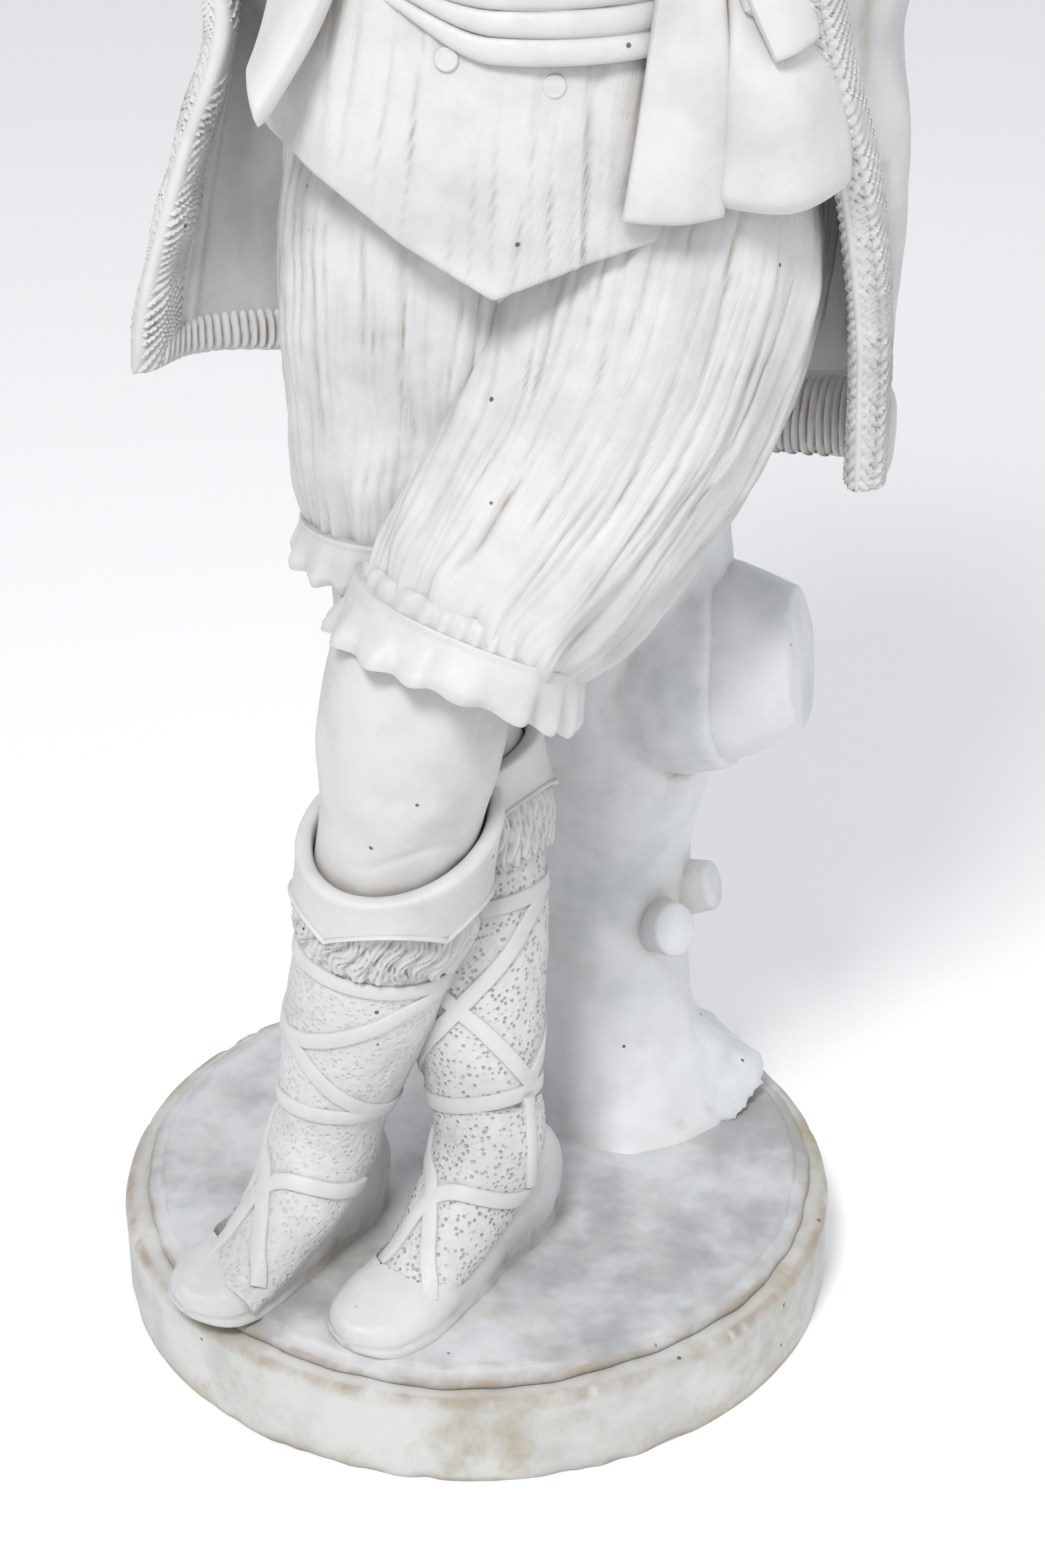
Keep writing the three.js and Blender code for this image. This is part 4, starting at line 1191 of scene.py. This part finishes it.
tail_narrow = Cloth([
    [[112, -122, 1000], [134, -118, 1000], [152, -112, 1000]],
    [[104, -122, 930], [132, -122, 930], [158, -114, 930]],
    [[94, -124, 862], [128, -124, 860], [156, -114, 862]],
], outward=-1)
tail_wide = Cloth([
    [[150, -104, 1000], [182, -92, 1000], [206, -66, 1000]],
    [[152, -112, 930], [196, -106, 930], [226, -70, 930]],
    [[150, -112, 868], [196, -108, 862], [230, -70, 868]],
], outward=-1)
tail_end = Cloth([
    [[156, -118, 1012], [176, -112, 1012], [200, -98, 1012]],
    [[168, -122, 985], [186, -117, 985], [206, -100, 985]],
    [[182, -124, 957], [194, -120, 961], [208, -102, 966]],
], outward=-1)
jacket_right = Cloth([
    [[-46, -62, 1290], [-78, -56, 1285], [-112, -30, 1275]],
    [[-38, -94, 1190], [-80, -80, 1190], [-104, -30, 1190]],
    [[-50, -92, 1080], [-80, -70, 1080], [-96, -20, 1080]],
    [[-78, -112, 990], [-96, -98, 985], [-112, -60, 980]],
    [[-121, -120, 918], [-124, -110, 928], [-126, -90, 940]],
], outward=-1)
jacket_left = Cloth([
    [[124, -66, 1290], [160, -54, 1285], [190, -30, 1275]],
    [[128, -106, 1190], [172, -92, 1190], [206, -40, 1190]],
    [[138, -106, 1080], [176, -90, 1080], [206, -30, 1080]],
    [[164, -118, 985], [200, -98, 968], [222, -50, 990]],
], outward=-1)
waist = [
    hoop(at=(46, -6, 984), down=(0, 0.14, -1), a=132, b=119, profile=sash_profile, count=230),
    tail_narrow.whole(3, 4, 10, soft(70, 1.6, 21), taper=3),
    tail_wide.whole(3, 4, 24, soft(70, 2.4, 22), taper=12),
    tail_end.whole(3, 3, 9, soft(50, 0.8, 23), taper=3),
    jacket_right.whole(3, 4, 15, soft(60, 1.8, 24), taper=6),
    jacket_left.whole(3, 4, 14, soft(60, 1.8, 25), taper=6),
]

# ---------------------------------------------------------------- torso, arms and hand

torso = Loft([
    [40, 0, 1345, 44, 44, 46],
    [42, 2, 1310, 70, 50, 54],
    [44, 4, 1285, 136, 62, 66],
    [45, 4, 1240, 158, 80, 80],
    [46, 2, 1170, 146, 94, 86],
    [47, 4, 1090, 132, 90, 80],
    [48, 6, 1020, 122, 88, 78],
    [48, 8, 960, 128, 92, 84],
])
right_arm = Loft([
    [-88, 0, 1258, 44, 46, 46],
    [-124, -2, 1190, 42, 44, 44],
    [-142, -4, 1110, 40, 42, 42],
    [-146, -14, 1062, 42, 42, 40],
    [-128, -52, 1056, 38, 40, 38],
    [-92, -92, 1088, 35, 35, 35],
    [-52, -118, 1126, 30, 30, 30],
    [-30, -126, 1148, 24, 22, 22],
], (0.5, -1, 0.2))
left_arm = Loft([
    [174, 0, 1258, 44, 46, 46],
    [216, 0, 1180, 42, 44, 44],
    [244, 4, 1090, 42, 42, 42],
    [248, 2, 1036, 38, 40, 42],
    [226, -16, 984, 36, 38, 38],
    [196, -34, 944, 32, 32, 32],
], (0.2, -1, 0))


def shirt(t, angle, points):
    """Loose linen: soft folds that hang from the chest and gather into the sash."""
    front = bump(wrap(angle - TAU / 4), 1.3)
    hang = smooth((t - 2) / 5)
    folds = 3.0 * np.sin(13 * angle + 1.5 * np.sin(2 * t)) * hang * front
    return folds + 3 * ripple(points, 80, 30) + 1.2 * ripple(points, 30, 31)


def sleeve(elbow):
    """Folds that wrap the bent elbow and fade along the arm."""

    def relief(t, angle, points):
        near = bump(t - elbow, 1.5)
        wraps = 3.4 * np.sin(7.5 * (t - elbow) + 1.6 * np.cos(angle - 0.8)) * near
        return wraps + 2 * ripple(points, 55, 33) + 1.0 * ripple(points, 24, 34)

    return relief


def finger(points, radius):
    """A finger through its joints, thinner towards the tip."""
    stations = [[*p, radius - i, radius - i, radius - i] for i, p in enumerate(points)]
    tip = np.array(points[-1]) + 0.35 * (np.array(points[-1]) - np.array(points[-2]))
    stations.append([*tip, 2, 2, 2])
    return Loft(stations, (0, 0.2, 1)).form(1.8, around=20)


palm = Loft([[-52, -120, 1126, 26, 20, 20], [-26, -128, 1150, 32, 16, 16], [2, -124, 1168, 34, 14, 14],
             [14, -120, 1174, 30, 10, 10]], (-0.5, 0, 0.8))
hand = [palm.form(3)]
for i in range(4):
    knuckle, joint = [6 + 6 * i, -124, 1198 - 15 * i], [34 + 6 * i, -122, 1206 - 17 * i]
    hand.append(finger([knuckle, joint, [60 + 2 * i, -112, 1206 - 19 * i]], 9))
hand.append(finger([[-26, -128, 1176], [-14, -130, 1206], [2, -124, 1226]], 10))


def wrist_band(angle):
    """The plain band round the sleeve's end."""
    loop = np.array([[-6, 9], [2, 8], [4, 5], [4, -5], [2, -8], [-6, -9]], float)
    return loop[:, :1] + 0 * angle, loop[:, 1:] + 0 * angle


cuff_band = hoop(at=(-46, -121, 1132), down=(0.75, -0.3, 0.6), a=33, b=31, profile=wrist_band, count=90,
                 side=(0.5, -1, 0.2))
body = fused([torso.form(4, shirt), right_arm.form(4, sleeve(3.4)), left_arm.form(4, sleeve(3.2))], 5.6, 3)
carve("statue_torso", [body, fused(hand, 2.6, 2), cuff_band, *waist], figure_stone)

# ---------------------------------------------------------------- cape

LINING_Y = 52  # the cape is solid behind this depth, where it wraps the figure
CAPE_THICKNESS = 18
cape = Cloth([
    # Each row runs from the edge beside the right arm, round the back, to the edge before the left arm.
    [[-8, -50, 1322], [-24, 0, 1330], [42, 60, 1338], [106, 0, 1330], [92, -50, 1322]],
    [[-52, -76, 1290], [-118, 16, 1292], [42, 94, 1298], [214, 12, 1290], [128, -86, 1284]],
    [[-148, -44, 1236], [-182, 26, 1236], [44, 116, 1230], [276, 6, 1225], [164, -108, 1224]],
    [[-196, -8, 1130], [-186, 66, 1130], [48, 126, 1130], [308, 10, 1130], [184, -120, 1130]],
    [[-190, 2, 1040], [-166, 78, 1040], [60, 132, 1040], [312, 14, 1040], [190, -118, 1040]],
    [[-150, -20, 964], [-132, 66, 960], [70, 134, 960], [272, 30, 954], [200, -104, 975]],
    [[-180, -40, 870], [-138, 48, 864], [76, 142, 860], [280, 44, 864], [230, -76, 870]],
    [[-206, -44, 790], [-146, 40, 784], [80, 146, 750], [268, 50, 752], [250, -50, 760]],
    [[-216, -46, 736], [-150, 34, 724], [84, 150, 660], [264, 60, 640], [256, -34, 648]],
])
FRINGE_WIDTH = 44
BAND_WIDTH = 36
STRAND = 6.6  # distance between two strands of wool
BORDER_TOP = 0.8  # the v at which both borders start
BORDER_ROWS = 350
HEM_START = 0.6  # how far above the lower edge, in v, the hem's fringe starts
HEM_COLUMNS = 430


def drapes(u, v, points):
    """Long folds that fall down the back and round the left shoulder."""
    fall = smooth((v - 0.5) / 3)
    long = 8 * np.sin(9.5 * u + 0.5 * np.sin(0.9 * v)) * bump(u - 1.8, 1.1)
    side = 3.4 * (np.sin(15 * u - 1.1 * np.sin(0.8 * v + 1)) - 1) * bump(u - 3.3, 0.5)
    worn = 2.2 * ripple(points, 90, 50) + 0.6 * ripple(points, 26, 51)
    return fall * (long + side) - 3 * bump(u - 3.0, 0.4) + worn


def lining(u, v, points):
    """The cape's smooth inner side, with a ridge beside the fringe."""
    return 1.8 * ripple(points * [1, 1, 0.4], 60, 52) + 2.6 * bump(u - 0.62, 0.025) * (v > 2)


def border(width, from_end, relief, lift=0.0):
    """A strip along one side edge of the cape; its free edge thins and draws in between the strands."""
    v = np.linspace(BORDER_TOP, cape.last_v, BORDER_ROWS)
    far = spread(width, 2.1, 2.5) * width
    u = cape.inward_u(v, far, from_end)
    rows = np.broadcast_to(v[:, None], u.shape)
    down = travelled(cape.point(u, rows)[:, len(far) // 2])[:, None]
    height = relief(far[None], down)
    notch = 3.5 * np.clip((2.5 - height) / 5, 0, 1) * smooth((11 - far[None]) / 8)
    u = cape.inward_u(v, far[None] + notch, from_end)
    thickness = (CAPE_THICKNESS - 3) * (0.62 + 0.38 * smooth(far[None] / 14))
    return strip(u, rows, height, thickness, lift)


def strip(u, v, height, thickness, lift=0.0, clamp=None):
    """A strip that lies on the cape, carved alike on both faces."""

    def given(*_):
        return height

    thickness = np.broadcast_to(thickness, u.shape)
    if u[0, 0] > u[0, -1]:
        u, v, height, thickness = (values[:, ::-1] for values in (u, v, height, thickness))
    return cape.form(u, v, thickness, given, back=given, clamp=clamp, taper=5, keen=1.2, lift=lift,
                     hollow=CLEAN)


def slanted(far, down):
    """Strands of the right edge: level beside the piping, sweeping down to the free edge."""
    inner = (FRINGE_WIDTH - far) / FRINGE_WIDTH
    sweep = down - 32 * inner**1.5 + 3 * np.sin(TAU * inner) + 2.2 * np.sin(down / 31) * inner
    phase = sweep / STRAND + 0.35 * np.sin(down / 17 + 3 * inner) + 0.25 * np.sin(down / 7.3)
    body = 3 * np.sin(np.pi * np.clip(far / FRINGE_WIDTH, 0, 1)) ** 0.7
    wool = body + 5.2 * strands(phase, 0.75) * (0.8 + 0.2 * np.sin(down / 11)) - 3.2
    beside = FRINGE_WIDTH - far
    return wool * smooth((beside - 4) / 3) + 2.4 * bump(beside - 2.2, 1.5)


def herringbone(far, down):
    """Two rows of strands that meet in a point along the middle of the left edge's band."""
    middle = 9 + 2 * np.sin(down / 70)
    aside = np.abs(far - middle)
    phase = (down + 1.25 * aside + 1.2 * np.sin(down / 23)) / (STRAND * 1.25) + 0.2 * np.sin(down / 11)
    body = 4.5 * np.sin(np.pi * np.clip(far / BAND_WIDTH, 0, 1)) ** 0.7
    return body + 4.4 * strands(phase, 0.75) - 2.4 * bump(aside, 1.8) - 2.4


def hem(height, u_from, u_to):
    """The fringe that hangs along the cape's lower edge."""
    u = np.linspace(u_from, u_to, HEM_COLUMNS)
    fall = spread(height, 2.2, 2.5)[:, None]
    ragged = 0.05 * (1 - strands(u * 90 / STRAND)) * smooth((fall - 0.7) / 0.3)
    v = cape.last_v - HEM_START * (1 - fall) - ragged
    u = np.broadcast_to(u, v.shape)
    girth = travelled(cape.point(u, v)[0])[None]
    drop = fall * height
    phase = (girth + 2.4 * np.sin(drop / 9 + girth / 40) + 0.12 * drop) / STRAND + 0.3 * np.sin(girth / 19)
    relief = 4.6 * strands(phase, 0.75) * smooth(drop / 4) - 1.8 + 2.4 * np.sin(np.pi * fall)
    return strip(u, v, relief, CAPE_THICKNESS - 4, clamp=LINING_Y - 2 - relief)


cape_forms = [
    cape.whole(7, 8, CAPE_THICKNESS - 4, drapes, back=lining, clamp=LINING_Y, taper=14),
    border(FRINGE_WIDTH, False, slanted),
    border(BAND_WIDTH, True, herringbone, lift=1.0),
    hem(30, 0.25, 3.85),
]
carve("statue_cape", cape_forms, figure_stone)

# ---------------------------------------------------------------- head

HEAD_AT = np.array([38, -14, 1385])
HEAD_COLUMNS = 176
HEAD_ROUND = 78  # the head's mean radius
LOCK_POINTS = 13  # along a lock of hair
LOCK_SPACING = 21  # from lock to lock round the head
# Head section by share of its height: half width, depth in front, depth behind.
SKULL = [
    [1, 6, 6, 6], [0.98, 30, 32, 36], [0.92, 52, 58, 66], [0.83, 66, 78, 84],
    [0.7, 70, 87, 92], [0.58, 70, 89, 92], [0.48, 69, 88, 84], [0.36, 64, 88, 70],
    [0.24, 56, 86, 52], [0.14, 46, 84, 40], [0.05, 32, 78, 34], [0.0, 20, 66, 30],
]


def turned(a, b, angle):
    """The coordinates a and b after a turn from a towards b."""
    c, s = math.cos(angle), math.sin(angle)
    return c * a - s * b, s * a + c * b


def turned_head(points):
    """From the head's own frame to its place: looking down and to the right."""
    x, y, z = np.moveaxis(points, -1, 0)
    y, z = turned(y, z, 0.12)
    x, y = turned(x, y, -0.3)
    z, x = turned(z, x, -0.06)
    return np.stack([x, y, z], -1) + HEAD_AT


def section(h):
    """Half width, depth in front and depth behind, at share h of the head's height."""
    levels = np.array([row[0] for row in SKULL])
    row = np.interp(-h, -levels, np.arange(len(SKULL)))
    return np.moveaxis(along(SKULL, row), -1, 0)[1:]


def face(x, z, aside):
    """Depth of the face's carving at x across and z up from the chin, both in millimetres."""
    ax = np.abs(x)
    bridge = smooth((118 - z) / 30) * smooth((z - 56) / 7)
    width = 5.2 + 3.5 * smooth((84 - z) / 26)
    slope = 7 + 15 * smooth((112 - z) / 52)
    nose = slope * bridge * bump(x, width * 1.25)
    tip = 5.5 * bump(x, 8.5) * bump(z - 63, 7.5)
    wings = 7 * bump(ax - 12, 5) * bump(z - 61, 6)
    nostrils = -5 * bump(ax - 6.5, 3.2) * bump(z - 55.5, 3)
    eye_x, eye_z = ax - 31, z - 97 + 0.04 * (ax - 31)
    socket = -8.5 * bump(eye_x, 20) * bump(eye_z - 1, 13) - 5 * bump(ax - 14, 7) * bump(eye_z, 10)
    ball = 8 * bump(eye_x, 13) * bump(eye_z, 9.5)
    opening = 6.2 * (1 - (eye_x / 15.5) ** 2)
    upper, lower = opening, -0.5 * opening
    wide = smooth((15.8 - np.abs(eye_x)) / 3)
    lid = wide * (2.1 * bump(eye_z - upper - 1.2, 1.6) + 1.1 * bump(eye_z - lower + 1.0, 1.5)
                  - 1.3 * bump(eye_z - upper - 4.8, 1.5))
    shut = smooth((np.abs(eye_z - (upper + lower) / 2) - (upper - lower) / 2) / 1.5)
    eyeball = ball - 1.3 * (1 - shut) * wide
    brow = 4.2 * bump(eye_z - 17 - 1.5 * np.cos(eye_x / 12), 5.5) * bump(ax - 28, 22)
    brow += 1.5 * bump(ax, 10) * bump(z - 114, 8)
    cheek = 4 * bump(ax - 38, 17) * bump(z - 73, 16) - 2.5 * bump(ax - 42, 14) * bump(z - 48, 14)
    mouth_z = z - 38 - 1.2 * np.cos(ax / 7.5) * bump(ax, 20) - 0.03 * ax
    mouth_wide = smooth((25 - ax) / 9)
    top_lip = 5.0 * bump(mouth_z - 4.6, 4.0) * mouth_wide * (1 - 0.22 * bump(x, 2.6))
    low_lip = 6.4 * bump(mouth_z + 5.4, 4.8) * smooth((22 - ax) / 10)
    part = -2.8 * bump(mouth_z, 1.3) * mouth_wide
    corners = -2.2 * bump(ax - 25, 3.2) * bump(mouth_z, 3.5)
    groove = -1.4 * bump(x, 2.4) * bump(z - 49, 4) + 0.7 * bump(ax - 4.5, 2) * bump(z - 49, 4)
    muzzle = 4.5 * bump(x, 24) * bump(z - 42, 17)
    chin = 7 * bump(x, 17) * bump(z - 14, 11) - 3 * bump(x, 20) * bump(z - 27, 4.5)
    carving = (nose + tip + wings + nostrils + socket + eyeball + lid + brow + cheek + top_lip + low_lip
               + part + corners + groove + muzzle + chin)
    return carving * smooth((1.25 - aside) / 0.35)


def hairline(aside):
    """Share of the head's height where the hair starts, by angle from the face."""
    return np.where(aside < 1.15, 0.86 - 0.1 * aside, np.maximum(0.5 - 0.28 * (aside - 1.15), 0.12))


def level(h):
    """Height over the chin at share h of the head, with the hair's own height on the crown."""
    return h * HEAD_HEIGHT + 5 * smooth((h - 0.6) / 0.4)


def head_grid():
    """The head with its face, from the crown down to the chin."""
    spans = (0.995, 0.66, 30), (0.655, 0.08, 112), (0.07, 0, 8)
    h = np.concatenate([np.linspace(*span) for span in spans])[:, None]
    even = BACK + round_angles(HEAD_COLUMNS)[None]
    angle = even + 0.55 * np.cos(even)
    w, f, b = section(h)
    aside = np.abs(wrap(angle - TAU / 4))
    c, s = np.cos(angle), np.sin(angle)
    carving = face(w * c, h * HEAD_HEIGHT, aside)
    grown = smooth((h - hairline(aside)) / 0.05 + 0.5)
    more = carving * (1 - grown) + grown * 5
    more = more * np.minimum(1, w / 30)
    points = [(w + more) * c, -(np.where(s > 0, f, b) + more) * s, level(h) + 0 * c]
    return ring_form(turned_head(np.stack(points, -1)))


def scalp(h, angle):
    """Where a lock lies on the head, at share h of its height."""
    w, f, b = section(h)
    c, s = np.cos(angle), np.sin(angle)
    return np.stack([(w + 4) * c, -(np.where(s > 0, f, b) + 4) * s, level(h)], -1)


def curl(h, angle, length, turn, rng):
    """A lock of hair that lies on the head from its root, bends, and ends in a hooked point."""
    s = np.linspace(0, 1, LOCK_POINTS)
    heading = turn + 2.6 * (s - 0.25) * rng.choice([-1, 1]) * rng.uniform(0.6, 1.3)
    step = length / LOCK_POINTS
    down, aside = np.cumsum(np.cos(heading) * step), np.cumsum(np.sin(heading) * step)
    centre = scalp(np.clip(h - down / HEAD_HEIGHT, 0.1, 0.985), angle + aside / HEAD_ROUND)
    out = unit(centre - np.array([0, 8, 0.55 * HEAD_HEIGHT]))
    run = unit(np.gradient(centre, axis=0))
    across = unit(np.cross(out, run))
    wide = 7.5 * np.sin(np.pi * np.clip(0.18 + 0.8 * s, 0, 1)) ** 0.8 + 0.3
    tall = 5.5 * np.sin(np.pi * np.clip(0.12 + 0.86 * s, 0, 1)) ** 0.7 + 0.2
    turns = round_angles(16)
    strand = 1 + 0.13 * np.cos(6 * turns + 4 * s[:, None])
    grid = (centre[:, None] + across[:, None] * (np.cos(turns) * strand * wide[:, None])[..., None]
            + out[:, None] * (np.sin(turns) * strand * tall[:, None])[..., None])
    return ring_form(turned_head(grid))


def hair():
    """Locks in rings from the crown down to the hairline."""
    rng = np.random.default_rng(20)
    locks = []
    for h in np.linspace(0.975, 0.2, 12):
        w = float(section(np.array(h))[0])
        count = max(int(TAU * (w + 12) / LOCK_SPACING), 5)
        for k in range(count):
            angle = TAU * (k + rng.uniform(-0.3, 0.3) + 0.5 * (round(h * 100) % 2)) / count
            aside = abs(wrap(angle - TAU / 4))
            start = h + rng.uniform(-0.02, 0.02)
            if start > float(hairline(np.array(aside))) + 0.01:
                locks.append(curl(start, angle, rng.uniform(30, 44), rng.uniform(-0.7, 0.7), rng))
    return locks


# From the root to the bowl of an ear: share of its size, and how far it stands out.
EAR_RINGS = [(0.55, -4), (0.9, -1), (1.0, 3), (0.97, 5.5), (0.86, 6.5), (0.76, 5.0), (0.68, 2.2), (0.4, 1.2),
             (0.1, 1.6)]


def ear(side):
    """An ear that shows below the hair: bowl, rim and lobe."""
    turns = round_angles(40)
    rings = []
    for inset, out in EAR_RINGS:
        y = 12.5 * inset * np.cos(turns) * (1 - 0.18 * np.sin(turns))
        z = 21 * inset * np.sin(turns)
        rings.append(np.stack([np.full(40, side * (70 + out)), 8 + y - 0.2 * z, 0.43 * HEAD_HEIGHT + z], -1))
    grid = np.array(rings)
    return ring_form(turned_head(grid if side > 0 else grid[:, ::-1]))


neck = Loft([
    [38, -4, 1425, 48, 42, 50],
    [38, 2, 1385, 43, 42, 46],
    [40, 6, 1345, 46, 44, 48],
    [42, 6, 1300, 62, 52, 54],
])


def neck_relief(t, angle, points):
    """The neck's two cords, the throat between them, and the hollow under it."""
    front = wrap(angle - TAU / 4)
    cords = 2.4 * (bump(front - 0.75 + 0.2 * t, 0.16) + bump(front + 0.75 - 0.2 * t, 0.16))
    return cords + 2.2 * bump(front, 0.22) * bump(t - 1.1, 0.5) - 2 * bump(front, 0.3) * bump(t - 2.2, 0.4)


carve("statue_head", [head_grid(), *hair(), ear(1), ear(-1), neck.form(2.6, neck_relief)], figure_stone)

# ---------------------------------------------------------------- floor, light and camera

CAMERA_AT = (0.035, -1.768, 1.385)
CAMERA_PITCH = 28.88  # degrees below the horizon
LENS, FILM = 65, 36  # focal length and the film's long side, in millimetres
FLOOR_HALF = 9.0  # half the floor's width, in metres
LIGHTS_AIM = (0, 0, 0.7)

floor_mesh = bpy.data.meshes.new("floor")
floor_corners = [(x * FLOOR_HALF, y * FLOOR_HALF, 0) for x, y in ((-1, -1), (1, -1), (1, 1), (-1, 1))]
floor_mesh.from_pydata(floor_corners, [], [(0, 1, 2, 3)])
floor = placed("floor", floor_mesh)
paper = bpy.data.materials.new("floor_paper")
paper.use_nodes = True
paper.node_tree.nodes["Principled BSDF"].inputs["Base Color"].default_value = (0.97, 0.97, 0.97, 1)
paper.node_tree.nodes["Principled BSDF"].inputs["Roughness"].default_value = 0.9
floor_mesh.materials.append(paper)


def soft_light(name, at, size, power):
    """A round lamp that points at the middle of the statue."""
    light = bpy.data.lights.new(name, "AREA")
    light.shape = "DISK"
    light.size = size
    light.energy = power
    lamp = placed(name, light)
    lamp.location = at
    direction = np.array(LIGHTS_AIM) - np.array(at)
    pan = math.atan2(direction[1], direction[0]) - math.pi / 2
    tilt = math.atan2(direction[2], math.hypot(*direction[:2])) + math.pi / 2
    lamp.rotation_euler = (tilt, 0, pan)


soft_light("key", (-0.7, -2.2, 3.5), 1.0, 94)
soft_light("fill", (2.4, -2.0, 2.4), 2.4, 16)

world = bpy.data.worlds.new("studio")
world.use_nodes = True
world.node_tree.nodes["Background"].inputs["Color"].default_value = (0.95, 0.97, 1.0, 1)
world.node_tree.nodes["Background"].inputs["Strength"].default_value = 0.72
bpy.context.scene.world = world
bpy.context.scene.view_settings.view_transform = "Standard"

camera_data = bpy.data.cameras.new("camera")
camera_data.lens = LENS
camera_data.sensor_fit = "VERTICAL"
camera_data.sensor_height = FILM
camera = placed("camera", camera_data)
camera.location = CAMERA_AT
camera.rotation_euler = (math.radians(90 - CAMERA_PITCH), 0, 0)
bpy.context.scene.camera = camera
